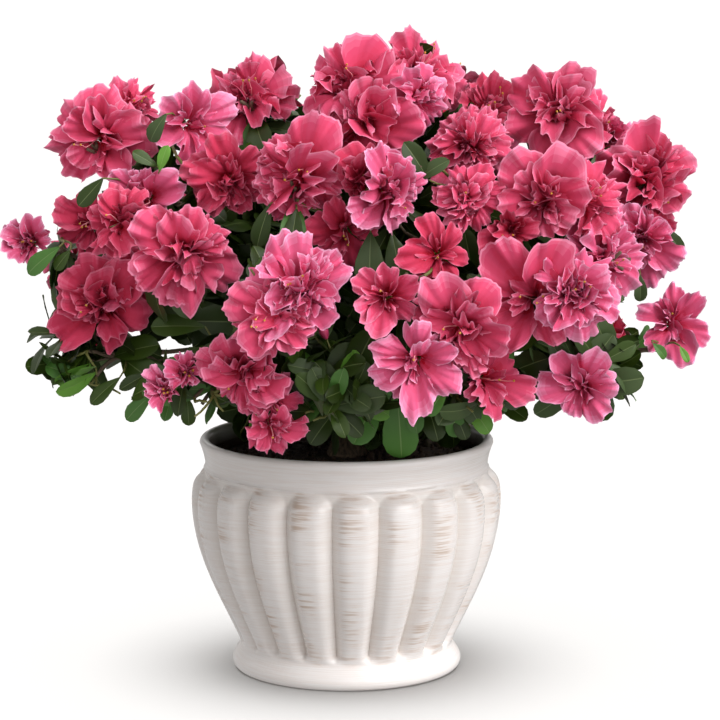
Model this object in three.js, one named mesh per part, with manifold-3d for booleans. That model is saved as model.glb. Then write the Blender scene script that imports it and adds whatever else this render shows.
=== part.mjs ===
// Potted azalea: a low, wide shrub in full bloom, growing in a ribbed ceramic pot.
// Millimetres, +Z up. The origin is the centre of the pot's flat underside.
// A bearing is degrees round the pot from the front (-Y), positive towards the right (+X).

import * as THREE from 'three';
import { mergeVertices } from 'three/addons/utils/BufferGeometryUtils.js';
import Module from 'manifold-3d';

const wasm = await Module();
wasm.setup();

// ---- Driving dimensions

const GAP = 0.3; // clearance between pieces that touch

const POT_HEIGHT = 140;
const FOOT_RADIUS = 69; // the flared foot ring at its widest
const FOOT_HEIGHT = 15; // up to the waist
const WAIST_RADIUS = 64;
const BELLY_RADIUS = 93;
const BELLY_HEIGHT = 102;
const BELLY_FULLNESS = 1.1; // 1 is a plain sine from waist to belly, more is leaner
const NECK_RADIUS = 85;
const NECK_HEIGHT = 122;
const RIM_RADIUS = 88;
const LIP_WIDTH = 6;
const INNER_BELLY_RADIUS = 81;
const FLOOR_RADIUS = 50;
const FLOOR_HEIGHT = 10;
const INSIDE_ROWS = [FLOOR_HEIGHT, 40, BELLY_HEIGHT];
const RIBS = 20;
const RIB_DEPTH = 5; // crest of a rib down to the groove beside it
const RIB_FADE = 10; // height over which a groove starts and ends
const FIRST_GROOVE_BEARING = -5.3;
const FACES_PER_RIB = 3;

const SOIL_HEIGHT = 128;
const SOIL_EDGE_DROP = 2.5; // the surface is lowest against the wall
const SOIL_LUMP = 0.8;

const STEM_HEIGHT = 78; // out of the soil, up to where the leader goes on
const STEM_BASE_RADIUS = 8.5;
const STEM_TOP_RADIUS = 5;
const STEM_FLARE = 5; // extra radius of the root flare at the soil
const STEM_FLARE_HEIGHT = 9;
const STEM_LEAN = 5; // how far the top stands to the right of the foot
const STEM_BOW = 4;
const STEM_BUTTRESS = 0.25; // how far the flare swells into three toes, over the flare
const STEM_SIDES = 8;
const STEM_STEPS = 6;
const STEM_STEP_SPREAD = 1.6; // steps lie closer together towards the foot

const BOUGH_TIP_SHARE = 0.45; // tip radius over root radius
const BOUGH_BOW = 0.05; // how far a bough arches off its chord, over its length
const BOUGH_SHORT = 0.1; // how far short of its mass's centre a bough ends, before it is cut at the face
const BOUGH_SIDES = 5;
const BOUGH_STEPS = 4;

const CROWN_FOOT = 142; // no foliage lower than this, just clear of the rim
const LUMP = 0.13; // unevenness of a mass, over its own radius
const BOXINESS = 2.4; // 2 is an ellipsoid, more is squarer

// ---- The crown's tiers, each with the height, half-height and outward half-depth that its masses share.
// A mass is [name, bearing, reach from the pot's axis, half-width, lift above the tier, own half-height].

const TIERS = [
  {
    height: 338,
    halfHeight: 33,
    halfDepth: 44,
    masses: [
      ['top_left', -85, 58, 44, 0],
      ['crown_tip', 62, 30, 46, 11],
      ['top_right', 77, 116, 44, -6],
      ['top_back_left', -152, 68, 48, -7],
      ['top_back_right', 142, 82, 50, -12],
    ],
  },
  {
    height: 302,
    halfHeight: 37,
    halfDepth: 39,
    masses: [
      ['upper_left', -76, 147, 43, 13],
      ['left_shoulder', -50, 112, 42, 1],
      ['upper_front_left', -15, 104, 42, -6],
      ['upper_front', 19, 110, 42, 5],
      ['upper_front_right', 47, 134, 43, -5],
      ['right_shoulder', 82, 173, 45, -9],
      ['upper_right_back', 114, 158, 49, -2],
      ['upper_back_right', 150, 143, 50, -11],
      ['upper_back_left', -166, 132, 50, 2],
      ['upper_left_back', -122, 143, 50, -6],
    ],
  },
  {
    height: 249,
    halfHeight: 36,
    halfDepth: 38,
    masses: [
      ['left_tip', -82, 168, 37, 5, 27],
      ['left_front', -49, 140, 44, 10],
      ['middle_front_left', -15, 148, 44, -4],
      ['middle_front', 12, 150, 42, 1],
      ['middle_front_right', 38, 158, 43, -6],
      ['right_front', 62, 171, 42, 6],
      ['right_side', 94, 166, 44, -2],
      ['middle_right_back', 131, 170, 53, 5],
      ['middle_back', 170, 164, 55, -7],
      ['middle_left_back', -151, 164, 54, 5],
      ['left_back', -114, 163, 50, -6],
    ],
  },
  {
    height: 190,
    halfHeight: 38,
    halfDepth: 43,
    masses: [
      ['lower_left', -71, 148, 45, 9, 43],
      ['lower_front_left', -37, 122, 44, -4],
      ['lower_front', -3, 110, 46, -7],
      ['lower_front_right', 32, 125, 44, 2],
      ['lower_right_front', 58, 151, 43, 0],
      ['right_tip', 81, 182, 38, 8, 26],
      ['lower_right_back', 114, 148, 49, 2],
      ['lower_back_right', 155, 135, 53, -8],
      ['lower_back_left', -164, 134, 53, -1],
      ['lower_left_back', -119, 138, 52, -7],
    ],
  },
];

// ---- The boughs, each [mass it ends in, height above the soil where it leaves the stem, root radius].

const BOUGHS = [
  ['lower_left', 17, 3.8],
  ['lower_front_right', 19, 3.6],
  ['right_tip', 33, 3.8],
  ['lower_back_left', 16, 3.8],
  ['left_tip', 46, 3.8],
  ['middle_front_left', 40, 3.8],
  ['middle_front_right', 48, 3.8],
  ['middle_right_back', 18, 4],
  ['middle_left_back', 34, 4],
  ['upper_left', 61, 3.6],
  ['right_shoulder', 60, 3.6],
  ['upper_back_right', 48, 3.8],
  ['upper_front', 60, 3.4],
  ['crown_tip', 72, 4.2],
];

const MATERIALS = {
  glaze: new THREE.MeshStandardMaterial({ color: '#efebe4', roughness: 0.35, metalness: 0 }),
  peat: new THREE.MeshStandardMaterial({ color: '#3a2c22', roughness: 0.95, metalness: 0 }),
  bark: new THREE.MeshStandardMaterial({ color: '#6b5a46', roughness: 0.85, metalness: 0 }),
  leaf: new THREE.MeshStandardMaterial({ color: '#2f4a26', roughness: 0.55, metalness: 0 }),
  blossom: new THREE.MeshStandardMaterial({ color: '#e0557f', roughness: 0.6, metalness: 0 }),
};
const LEAFY_MASSES = ['lower_front', 'lower_back_left', 'lower_back_right', 'lower_left_back'];

// ---- Geometry helpers

const radians = THREE.MathUtils.degToRad;
const shrub = new THREE.Group();

function place(name, geometry, material) {
  const mesh = new THREE.Mesh(geometry, material);
  mesh.name = name;
  shrub.add(mesh);
}

function outwards(bearing) {
  return new THREE.Vector3(Math.sin(radians(bearing)), -Math.cos(radians(bearing)), 0);
}

function welded(geometry) {
  geometry.deleteAttribute('normal');
  geometry.deleteAttribute('uv');
  return mergeVertices(geometry, 1e-4);
}

function moveVertices(geometry, moved) {
  const position = geometry.attributes.position;
  const point = new THREE.Vector3();
  for (let i = 0; i < position.count; i += 1) {
    point.fromBufferAttribute(position, i);
    const target = moved(point);
    position.setXYZ(i, target.x, target.y, target.z);
  }
  return geometry;
}

function toSolid(geometry) {
  const closed = welded(geometry.clone());
  return new wasm.Manifold(new wasm.Mesh({
    numProp: 3,
    vertProperties: new Float32Array(closed.attributes.position.array),
    triVerts: new Uint32Array(closed.index.array),
  }));
}

function toGeometry(solid) {
  const mesh = solid.getMesh();
  const geometry = new THREE.BufferGeometry();
  geometry.setAttribute('position', new THREE.BufferAttribute(mesh.vertProperties, 3));
  geometry.setIndex(new THREE.BufferAttribute(mesh.triVerts, 1));
  geometry.computeVertexNormals();
  return geometry;
}

// A profile of [radius, height] turned about the pot's axis.
function turned(profile, sides) {
  const points = profile.map(([radius, height]) => new THREE.Vector2(radius, height));
  const geometry = new THREE.LatheGeometry(points, sides, radians(FIRST_GROOVE_BEARING));
  return geometry.rotateX(Math.PI / 2);
}

// ---- Pot: flared foot, ribbed belly, plain neck band and thick lip, in one closed wall

function crestRadius(height) {
  if (height <= BELLY_HEIGHT) {
    const rise = (height - FOOT_HEIGHT) / (BELLY_HEIGHT - FOOT_HEIGHT);
    return WAIST_RADIUS + (BELLY_RADIUS - WAIST_RADIUS) * Math.sin(rise * Math.PI / 2) ** BELLY_FULLNESS;
  }
  const rise = (height - BELLY_HEIGHT) / (NECK_HEIGHT - BELLY_HEIGHT);
  return NECK_RADIUS + (BELLY_RADIUS - NECK_RADIUS) * Math.sqrt(1 - rise ** 2);
}

function innerRadius(height) {
  const rise = Math.min(1, (height - FLOOR_HEIGHT) / (BELLY_HEIGHT - FLOOR_HEIGHT));
  return FLOOR_RADIUS + (INNER_BELLY_RADIUS - FLOOR_RADIUS) * Math.sin(rise * Math.PI / 2);
}

// How far the wall stands back from a rib's crest, at a height and at a share of a rib from its crest.
function grooveDepth(height, share) {
  const start = Math.min(1, (height - FOOT_HEIGHT) / RIB_FADE);
  const end = Math.min(1, (NECK_HEIGHT - height) / RIB_FADE);
  const roundness = 1 - Math.sqrt(1 - Math.min(1, (2 * share) ** 2));
  return RIB_DEPTH * start * end * roundness;
}

function potGeometry() {
  const foot = [[0, 0], [FOOT_RADIUS - 3, 0], [FOOT_RADIUS, 4], [FOOT_RADIUS - 1.5, 9]];
  const ribbed = [FOOT_HEIGHT, 25, 60, BELLY_HEIGHT, 113, 119, NECK_HEIGHT];
  const lip = [
    [RIM_RADIUS, POT_HEIGHT - 3],
    [RIM_RADIUS - LIP_WIDTH / 2, POT_HEIGHT],
    [RIM_RADIUS - LIP_WIDTH, POT_HEIGHT - 3],
  ];
  const inside = INSIDE_ROWS.toReversed().map((height) => [innerRadius(height), height]);
  const wall = ribbed.map((height) => [crestRadius(height), height]);
  const profile = [...foot, ...wall, ...lip, ...inside, [0, FLOOR_HEIGHT]];
  return moveVertices(turned(profile, RIBS * FACES_PER_RIB), (point) => {
    const radius = Math.hypot(point.x, point.y);
    const isRibbed = point.z > FOOT_HEIGHT && point.z < NECK_HEIGHT;
    if (!isRibbed || Math.abs(radius - crestRadius(point.z)) > 0.01) return point;
    const bearing = THREE.MathUtils.radToDeg(Math.atan2(point.x, -point.y));
    const ribs = (bearing - FIRST_GROOVE_BEARING) / (360 / RIBS);
    const share = ribs - Math.floor(ribs + 1e-6) - 0.5;
    const kept = 1 - grooveDepth(point.z, share) / radius;
    return new THREE.Vector3(point.x * kept, point.y * kept, point.z);
  });
}

place('pot', potGeometry(), MATERIALS.glaze);

// ---- Potting mix: fills the pot to a little below the rim

function pottingMixGeometry() {
  const floor = [[0, FLOOR_HEIGHT + GAP], [FLOOR_RADIUS - GAP, FLOOR_HEIGHT + GAP]];
  const wall = [...INSIDE_ROWS.slice(1), SOIL_HEIGHT - SOIL_EDGE_DROP];
  const side = wall.map((height) => [innerRadius(height) - GAP, height]);
  const top = [[60, SOIL_HEIGHT - 1], [30, SOIL_HEIGHT], [0, SOIL_HEIGHT]];
  return moveVertices(turned([...floor, ...side, ...top], RIBS), (point) => {
    const isLoose = point.z > BELLY_HEIGHT && Math.hypot(point.x, point.y) > 40;
    const lump = isLoose ? SOIL_LUMP * Math.sin(point.x / 9) * Math.cos(point.y / 7) : 0;
    return new THREE.Vector3(point.x, point.y, point.z + lump);
  });
}

place('potting_mix', pottingMixGeometry(), MATERIALS.peat);

// ---- Stem: flared at the soil, leaning a little, tapering to where the leader goes on

const STEM_FOOT_HEIGHT = SOIL_HEIGHT + GAP;

function stemAxis(rise) {
  const share = rise / STEM_HEIGHT;
  return new THREE.Vector3(STEM_LEAN * share, STEM_BOW * Math.sin(share * Math.PI), STEM_FOOT_HEIGHT + rise);
}

function stemGeometry(grow) {
  const geometry = new THREE.CylinderGeometry(1, 1, 1, STEM_SIDES, STEM_STEPS);
  return moveVertices(geometry, (point) => {
    const share = point.y + 0.5;
    const rise = (STEM_HEIGHT + grow) * share ** STEM_STEP_SPREAD;
    const taper = THREE.MathUtils.lerp(STEM_BASE_RADIUS, STEM_TOP_RADIUS, rise / STEM_HEIGHT);
    const bearing = Math.atan2(point.x, point.z);
    const toes = 1 + STEM_BUTTRESS * Math.cos(3 * bearing + 1);
    const flare = STEM_FLARE * Math.exp(-rise / STEM_FLARE_HEIGHT) * toes;
    const radius = taper + flare + grow;
    const centre = stemAxis(rise);
    return centre.add(new THREE.Vector3(point.x * radius, -point.z * radius, 0));
  });
}

place('stem', stemGeometry(0), MATERIALS.bark);

// ---- Masses of foliage and blossom: uneven lumps that meet their neighbours with a gap

function massOf(tier, [name, bearing, reach, halfWidth, lift, halfHeight = tier.halfHeight]) {
  const out = outwards(bearing);
  const side = outwards(bearing + 90);
  const centre = out.clone().multiplyScalar(reach).setZ(tier.height + lift);
  return { name, out, side, centre, halfWidth, halfDepth: tier.halfDepth, halfHeight };
}

const masses = TIERS.flatMap((tier) => tier.masses.map((row) => massOf(tier, row)));

function unevenness(direction, seed) {
  const slow = Math.sin(2.6 * direction.x + 1.3 * seed) * Math.cos(2.9 * direction.y + 2.1 * seed);
  const quick = Math.sin(4.7 * direction.z + 0.7 * seed) * Math.cos(4.1 * direction.x - 1.9 * seed);
  return 1 + LUMP * slow + LUMP * 0.6 * quick;
}

function ownRadius(mass, direction) {
  const shares = [
    direction.dot(mass.side) / mass.halfWidth,
    direction.dot(mass.out) / mass.halfDepth,
    direction.z / mass.halfHeight,
  ];
  const sum = shares.reduce((total, share) => total + Math.abs(share) ** BOXINESS, 0);
  return sum ** (-1 / BOXINESS) * unevenness(direction, masses.indexOf(mass));
}

// Planes that a mass stays behind: one between it and each neighbour, and the level of the crown's foot.
function limitsOf(mass) {
  const limits = [{ normal: new THREE.Vector3(0, 0, -1), distance: mass.centre.z - CROWN_FOOT }];
  for (const other of masses) {
    if (other === mass) continue;
    const normal = other.centre.clone().sub(mass.centre);
    const apart = normal.length();
    normal.normalize();
    const own = ownRadius(mass, normal);
    const others = ownRadius(other, normal.clone().negate());
    limits.push({ normal, distance: apart * own / (own + others) - GAP / 2 });
  }
  return limits;
}

function massGeometry(mass, grow) {
  const limits = limitsOf(mass);
  const geometry = welded(new THREE.IcosahedronGeometry(1, 2));
  return moveVertices(geometry, (point) => {
    const direction = point.clone().normalize();
    let radius = ownRadius(mass, direction);
    for (const { normal, distance } of limits) {
      const facing = direction.dot(normal);
      if (facing > 0) radius = Math.min(radius, distance / facing);
    }
    return direction.multiplyScalar(radius + grow).add(mass.centre);
  });
}

for (const mass of masses) {
  const material = LEAFY_MASSES.includes(mass.name) ? MATERIALS.leaf : MATERIALS.blossom;
  place(`foliage_${mass.name}`, massGeometry(mass, 0), material);
}

// ---- Boughs: tapering limbs from the stem, each cut where it enters its mass

function limbGeometry(curve, rootRadius, tipRadius) {
  const frames = curve.computeFrenetFrames(BOUGH_STEPS);
  const geometry = new THREE.CylinderGeometry(1, 1, 1, BOUGH_SIDES, BOUGH_STEPS);
  return moveVertices(geometry, (point) => {
    const share = 0.5 - point.y;
    const step = Math.round(share * BOUGH_STEPS);
    const radius = THREE.MathUtils.lerp(rootRadius, tipRadius, share);
    return curve.getPointAt(share)
      .addScaledVector(frames.normals[step], point.x * radius)
      .addScaledVector(frames.binormals[step], point.z * radius);
  });
}

function boughCurve(massName, rise) {
  const mass = masses.find(({ name }) => name === massName);
  const root = stemAxis(rise);
  const tip = mass.centre.clone().lerp(root, BOUGH_SHORT);
  const knee = root.clone().lerp(tip, 0.5);
  knee.z += BOUGH_BOW * root.distanceTo(tip);
  return new THREE.CatmullRomCurve3([root, knee, tip]);
}

const CUT_CLEARANCE = GAP + 0.1; // a grown solid's faces lie a little less than this off the real ones
const cutters = [toSolid(stemGeometry(CUT_CLEARANCE))];
for (const mass of masses) {
  cutters.push(toSolid(massGeometry(mass, CUT_CLEARANCE)));
}
for (const [massName, rise, rootRadius] of BOUGHS) {
  const curve = boughCurve(massName, rise);
  const tipRadius = rootRadius * BOUGH_TIP_SHARE;
  let bough = toSolid(limbGeometry(curve, rootRadius, tipRadius));
  for (const cutter of cutters) {
    bough = bough.subtract(cutter);
  }
  cutters.push(toSolid(limbGeometry(curve, rootRadius + CUT_CLEARANCE, tipRadius + CUT_CLEARANCE)));
  place(`bough_${massName}`, toGeometry(bough), MATERIALS.bark);
}

export default shrub;
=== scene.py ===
"""A potted azalea in full double bloom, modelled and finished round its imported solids.

Lengths inside the modelling functions are millimetres, and turn to metres when a mesh is made.
A bearing is degrees round the pot from the front (-Y), positive towards the right (+X).
"""

import math
from collections import namedtuple
from functools import lru_cache

import bpy
import numpy as np
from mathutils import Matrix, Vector, noise


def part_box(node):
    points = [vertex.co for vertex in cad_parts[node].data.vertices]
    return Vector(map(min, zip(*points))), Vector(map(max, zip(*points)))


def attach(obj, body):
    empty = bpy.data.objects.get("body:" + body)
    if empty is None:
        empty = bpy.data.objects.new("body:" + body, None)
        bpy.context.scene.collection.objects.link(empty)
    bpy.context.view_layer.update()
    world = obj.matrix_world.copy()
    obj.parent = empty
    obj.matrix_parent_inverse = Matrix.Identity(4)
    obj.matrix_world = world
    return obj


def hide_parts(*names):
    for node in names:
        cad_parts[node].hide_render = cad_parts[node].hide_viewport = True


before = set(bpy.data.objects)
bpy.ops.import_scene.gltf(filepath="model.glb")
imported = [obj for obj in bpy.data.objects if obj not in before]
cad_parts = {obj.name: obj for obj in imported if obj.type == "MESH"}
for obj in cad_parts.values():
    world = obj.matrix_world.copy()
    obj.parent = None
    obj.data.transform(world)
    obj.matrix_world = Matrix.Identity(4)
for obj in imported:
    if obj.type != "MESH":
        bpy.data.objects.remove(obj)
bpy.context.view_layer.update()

bl_info = {
    "name": "Potted azalea",
    "version": (1, 0, 0),
    "blender": (4, 5, 0),
    "location": "3D Viewport > Sidebar > Azalea",
    "description": "Builds an azalea in double bloom in a ribbed glazed pot",
    "category": "Object",
}

MM = 0.001
GOLDEN_ANGLE = math.radians(137.5)
CAMERA_PLACE = (8.1, -1737, 456)
CAMERA_AIM = (8.1, 0, 185.7)
CAMERA_LENS = 147.1
BEND_REACH = 0.38  # how far a bent line keeps its direction at each end, as a share of its length


# ---- Colours and small geometry helpers


def linear(hex_colour):
    """An sRGB hex colour as linear red, green and blue."""
    channels = [int(hex_colour[i : i + 2], 16) / 255 for i in (1, 3, 5)]
    return tuple(c / 12.92 if c <= 0.04045 else ((c + 0.055) / 1.055) ** 2.4 for c in channels)


def unit(vectors):
    """Each vector at length 1, along the last axis."""
    lengths = np.linalg.norm(vectors, axis=-1, keepdims=True)
    return vectors / np.maximum(lengths, 1e-9)


def facing(bearing, elevation):
    """The unit vector that points out at a bearing and an elevation, in degrees."""
    turn = np.radians(bearing)
    lift = np.radians(elevation)
    return np.array([np.sin(turn) * np.cos(lift), -np.cos(turn) * np.cos(lift), np.sin(lift)])


def frame_round(axis):
    """Two unit vectors square to each axis and to each other."""
    helper = np.where(np.abs(axis[..., 2:3]) < 0.9, [0.0, 0.0, 1.0], [1.0, 0.0, 0.0])
    side = unit(np.cross(helper, axis))
    return side, np.cross(axis, side)


def beside(axis, angle):
    """The unit vector square to one axis, turned round it by an angle."""
    side, other = frame_round(axis)
    return side * math.cos(angle) + other * math.sin(angle)


def smooth_step(low, high, value):
    """0 below low, 1 above high and an even curve between them."""
    share = np.clip((value - low) / (high - low), 0, 1)
    return share * share * (3 - 2 * share)


def spread(values):
    """An array with a row for each grid, ready to act on the grid's rows and columns."""
    return values[:, None, None]


def bend(start, start_way, end, end_way, steps):
    """A smooth line from start to end that leaves and arrives in the given directions."""
    length = np.linalg.norm(end - start)
    share = np.linspace(0, 1, steps)[:, None]
    first = start + start_way * length * BEND_REACH
    last = end - end_way * length * BEND_REACH
    return (
        start * (1 - share) ** 3
        + 3 * first * share * (1 - share) ** 2
        + 3 * last * share**2 * (1 - share)
        + end * share**3
    )


def place_on(line, at):
    """The point of a line at a whole or broken index."""
    return np.array([np.interp(at, range(len(line)), line[:, i]) for i in range(3)])


def node_box(name):
    """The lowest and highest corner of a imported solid, in millimetres."""
    low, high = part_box(name)
    return np.array(low) / MM, np.array(high) / MM


# ---- What a user may change


class PotSettings(bpy.types.PropertyGroup):
    """Sizes and colours of the pot and the potting mix."""

    ribs: bpy.props.IntProperty(
        name="Ribs", description="Number of ribs round the belly", default=20, min=8, max=40
    )
    rib_depth: bpy.props.FloatProperty(
        name="Rib depth",
        description="Crest of a rib down to the groove beside it",
        default=7 * MM,
        unit="LENGTH",
    )
    glaze: bpy.props.FloatVectorProperty(
        name="Glaze",
        description="Colour of the satin glaze",
        subtype="COLOR",
        default=linear("#E8E3E1"),
    )
    wear: bpy.props.FloatVectorProperty(
        name="Wear",
        description="Colour of the clay that shows through the brushed wear",
        subtype="COLOR",
        default=linear("#A2784E"),
    )
    peat: bpy.props.FloatVectorProperty(
        name="Potting mix",
        description="Colour of the damp peat",
        subtype="COLOR",
        default=linear("#41322A"),
    )


class ShrubSettings(bpy.types.PropertyGroup):
    """Sizes, colours and the seed of the shrub."""

    seed: bpy.props.IntProperty(
        name="Seed",
        description="Start of the branching rule, another number grows another crown",
        default=11,
        min=0,
    )
    leaf_length: bpy.props.FloatProperty(
        name="Leaf length", description="Length of a middling leaf", default=33 * MM, unit="LENGTH"
    )
    blossom_diameter: bpy.props.FloatProperty(
        name="Blossom diameter",
        description="Diameter of a middling open blossom",
        default=58 * MM,
        unit="LENGTH",
    )
    petal: bpy.props.FloatVectorProperty(
        name="Petal",
        description="Colour of a petal's blade",
        subtype="COLOR",
        default=linear("#D34E74"),
    )
    leaf: bpy.props.FloatVectorProperty(
        name="Leaf",
        description="Colour of a full-grown leaf",
        subtype="COLOR",
        default=linear("#334712"),
    )
    bark: bpy.props.FloatVectorProperty(
        name="Bark",
        description="Colour of the old bark",
        subtype="COLOR",
        default=linear("#6B5A48"),
    )


class StageSettings(bpy.types.PropertyGroup):
    """Floor, lights and camera."""

    floor: bpy.props.FloatVectorProperty(
        name="Floor", description="Colour of the floor", subtype="COLOR", default=linear("#B2B1B0")
    )
    floor_light: bpy.props.FloatProperty(
        name="Floor light",
        description="Strength of the light from above that falls on the floor alone",
        default=6.5,
    )
    key_strength: bpy.props.FloatProperty(
        name="Key light",
        description="Strength of the large soft light at the front right",
        default=2.65,
    )
    sky: bpy.props.FloatProperty(
        name="Surround", description="Brightness of the white surround", default=0.33
    )


# ---- Meshes and materials


class Faces:
    """Vertices and faces of one joined piece, gathered part by part."""

    def __init__(self):
        self.points = []
        self.faces = []
        self.slots = []
        self.count = 0

    def add_grids(self, points, slots, close_round=False):
        """Adds many grids at once, from points as (grids, rows, columns, 3).

        slots gives the material of each row of faces, or of each face, in each grid.
        """
        grids, rows, columns, _ = points.shape
        index = np.arange(grids * rows * columns).reshape(grids, rows, columns)
        index = index + self.count
        if close_round:
            index = np.concatenate([index, index[:, :, :1]], axis=2)
        corners = [index[:, :-1, :-1], index[:, :-1, 1:], index[:, 1:, 1:], index[:, 1:, :-1]]
        quads = np.stack(corners, axis=-1)
        strips = quads.shape[2]
        slots = np.asarray(slots)
        if slots.ndim == 2:
            slots = np.repeat(slots[:, :, None], strips, axis=2)
        self.points.append(points.reshape(-1, 3))
        self.faces.extend(quads.reshape(-1, 4).tolist())
        self.slots.append(slots.reshape(-1))
        self.count += grids * rows * columns

    def add_tube(self, line, radii, sides, slot):
        """Adds a round tube along a line, with a ring of the given radius at each point."""
        ahead = unit(np.gradient(line, axis=0))
        side, other = frame_round(ahead)
        turn = np.arange(sides) * 2 * math.pi / sides
        ring = side[:, None] * np.cos(turn)[:, None] + other[:, None] * np.sin(turn)[:, None]
        points = line[:, None] + ring * np.asarray(radii)[:, None, None]
        slots = np.full((1, len(line) - 1), slot)
        self.add_grids(points[None], slots, close_round=True)

    def to_object(self, name, materials):
        """Makes the piece, in metres, with smooth shading."""
        mesh = bpy.data.meshes.new(name)
        points = np.concatenate(self.points) * MM
        mesh.from_pydata(points, [], self.faces)
        for material in materials:
            mesh.materials.append(material)
        mesh.polygons.foreach_set("material_index", np.concatenate(self.slots).astype(np.int32))
        mesh.polygons.foreach_set("use_smooth", np.ones(len(self.faces), bool))
        mesh.update()
        piece = bpy.data.objects.new(name, mesh)
        bpy.context.scene.collection.objects.link(piece)
        return piece


def deselect_all():
    """Leaves nothing selected, in object mode."""
    if bpy.context.object and bpy.context.object.mode != "OBJECT":
        bpy.ops.object.mode_set(mode="OBJECT")
    bpy.ops.object.select_all(action="DESELECT")


def mesh_points(piece):
    """The piece's vertices in millimetres."""
    points = np.empty(len(piece.data.vertices) * 3)
    piece.data.vertices.foreach_get("co", points)
    return points.reshape(-1, 3) / MM


def move_points(piece, points):
    """Puts the piece's vertices at these places in millimetres."""
    piece.data.vertices.foreach_set("co", (points * MM).ravel())
    piece.data.update()


def raise_rings(name, rings, sides, turn=0):
    """A closed round body: a circle that is extruded and resized through (radius, height) rings.

    turn is how far its corners are turned round the axis, in degrees.
    """
    deselect_all()
    radius, height = rings[0]
    bpy.ops.mesh.primitive_circle_add(
        vertices=sides,
        radius=radius * MM,
        fill_type="NGON",
        location=(0, 0, height * MM),
        rotation=(0, 0, math.radians(turn)),
    )
    body = bpy.context.object
    body.name = name
    bpy.ops.object.transform_apply(location=True, rotation=True, scale=True)
    bpy.ops.object.mode_set(mode="EDIT")
    bpy.ops.mesh.select_all(action="SELECT")
    for (radius, height), (next_radius, next_height) in zip(rings, rings[1:]):
        rise = (0, 0, (next_height - height) * MM)
        bpy.ops.mesh.extrude_region_move(TRANSFORM_OT_translate={"value": rise})
        share = next_radius / radius
        bpy.ops.transform.resize(value=(share, share, 1))
    bpy.ops.mesh.select_all(action="SELECT")
    bpy.ops.mesh.normals_make_consistent(inside=False)
    bpy.ops.object.mode_set(mode="OBJECT")
    return body


def add_node(tree, kind, settings=None, stops=(), **inputs):
    """Adds a shader node, sets its settings and a ramp's stops, and sets or links its inputs.

    kind is the node's type after the word ShaderNode. A stop is a place and a grey or a colour. An
    input's name is written with _ for a space, or as slot_2 for the third input. Its value is a
    plain value, or a pair of another node and the name of that node's output.
    """
    node = tree.nodes.new("ShaderNode" + kind)
    for key, value in (settings or {}).items():
        setattr(node, key, value)
    if stops:
        elements = node.color_ramp.elements
        while len(elements) < len(stops):
            elements.new(0.5)
        for element, (place, colour) in zip(elements, stops):
            element.position = place
            if not isinstance(colour, tuple):
                colour = (colour, colour, colour)
            element.color = (*colour, 1)
    for key, value in inputs.items():
        if key.startswith("slot_"):
            socket = node.inputs[int(key[5:])]
        else:
            socket = node.inputs[key.replace("_", " ")]
        if isinstance(value, tuple) and isinstance(value[0], bpy.types.Node):
            tree.links.new(value[0].outputs[value[1]], socket)
        else:
            socket.default_value = value
    return node


def new_material(name):
    """An empty node material, with its tree."""
    material = bpy.data.materials.new(name)
    material.use_nodes = True
    material.node_tree.nodes.clear()
    return material, material.node_tree


def shaded(colour, amount):
    """A colour made lighter (amount over 1) or darker, never over white."""
    return tuple(min(1.0, channel * amount) for channel in colour)


def plain_surface(name, colour, roughness, **inputs):
    """A material of one plain colour, its gloss set on the shader."""
    material, tree = new_material(name)
    shader = add_node(
        tree, "BsdfPrincipled", Base_Color=(*colour, 1), Roughness=roughness, **inputs
    )
    add_node(tree, "OutputMaterial", Surface=(shader, "BSDF"))
    return material


# ---- Pot

POT_HEIGHT = 140
FOOT_RADIUS = 69
WAIST_HEIGHT = 15
WAIST_RADIUS = 64
BELLY_HEIGHT = 102
BELLY_RADIUS = 93
NECK_HEIGHT = 122
NECK_RADIUS = 85
RIM_RADIUS = 88
LIP_WIDTH = 6
WALL_FLOOR_HEIGHT = 10
INNER_FLOOR_RADIUS = 50
INNER_BELLY_RADIUS = 81
FIRST_GROOVE_BEARING = -5.3
COLUMNS_PER_RIB = 16
RIB_START = 14.5  # height of the ledge that the ribs stand on
RIB_LEDGE = 6  # height over which they rise from it
ARCH_TOP = 121.4  # highest point of a rib's rounded end
ARCH_RISE = 12  # height of that end
# How worn the glaze is from a rib's left groove, at -1, over its crest to its right one.
RIB_PLACES = [-0.82, -0.5, 0.0, 0.35, 0.8]
RIB_WEAR = [0, 1, 0.85, 0.18, 0]
RIB_SQUARENESS = 2.2  # 2 is a half circle across, more is flatter with steeper sides
MIX_TOP = 128  # middle of the potting mix's surface


def crest_radius(height):
    """Radius of the pot's ribs at their crests."""
    if height <= BELLY_HEIGHT:
        rise = (height - WAIST_HEIGHT) / (BELLY_HEIGHT - WAIST_HEIGHT)
        swell = math.sin(max(rise, 0) * math.pi / 2) ** 1.1
        return WAIST_RADIUS + (BELLY_RADIUS - WAIST_RADIUS) * swell
    rise = min(1, (height - BELLY_HEIGHT) / (NECK_HEIGHT - BELLY_HEIGHT))
    return NECK_RADIUS + (BELLY_RADIUS - NECK_RADIUS) * math.sqrt(1 - rise**2)


def inner_radius(height):
    """Radius of the pot's inside."""
    rise = (height - WALL_FLOOR_HEIGHT) / (BELLY_HEIGHT - WALL_FLOOR_HEIGHT)
    swell = math.sin(min(1, rise) * math.pi / 2)
    return INNER_FLOOR_RADIUS + (INNER_BELLY_RADIUS - INNER_FLOOR_RADIUS) * swell


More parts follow.
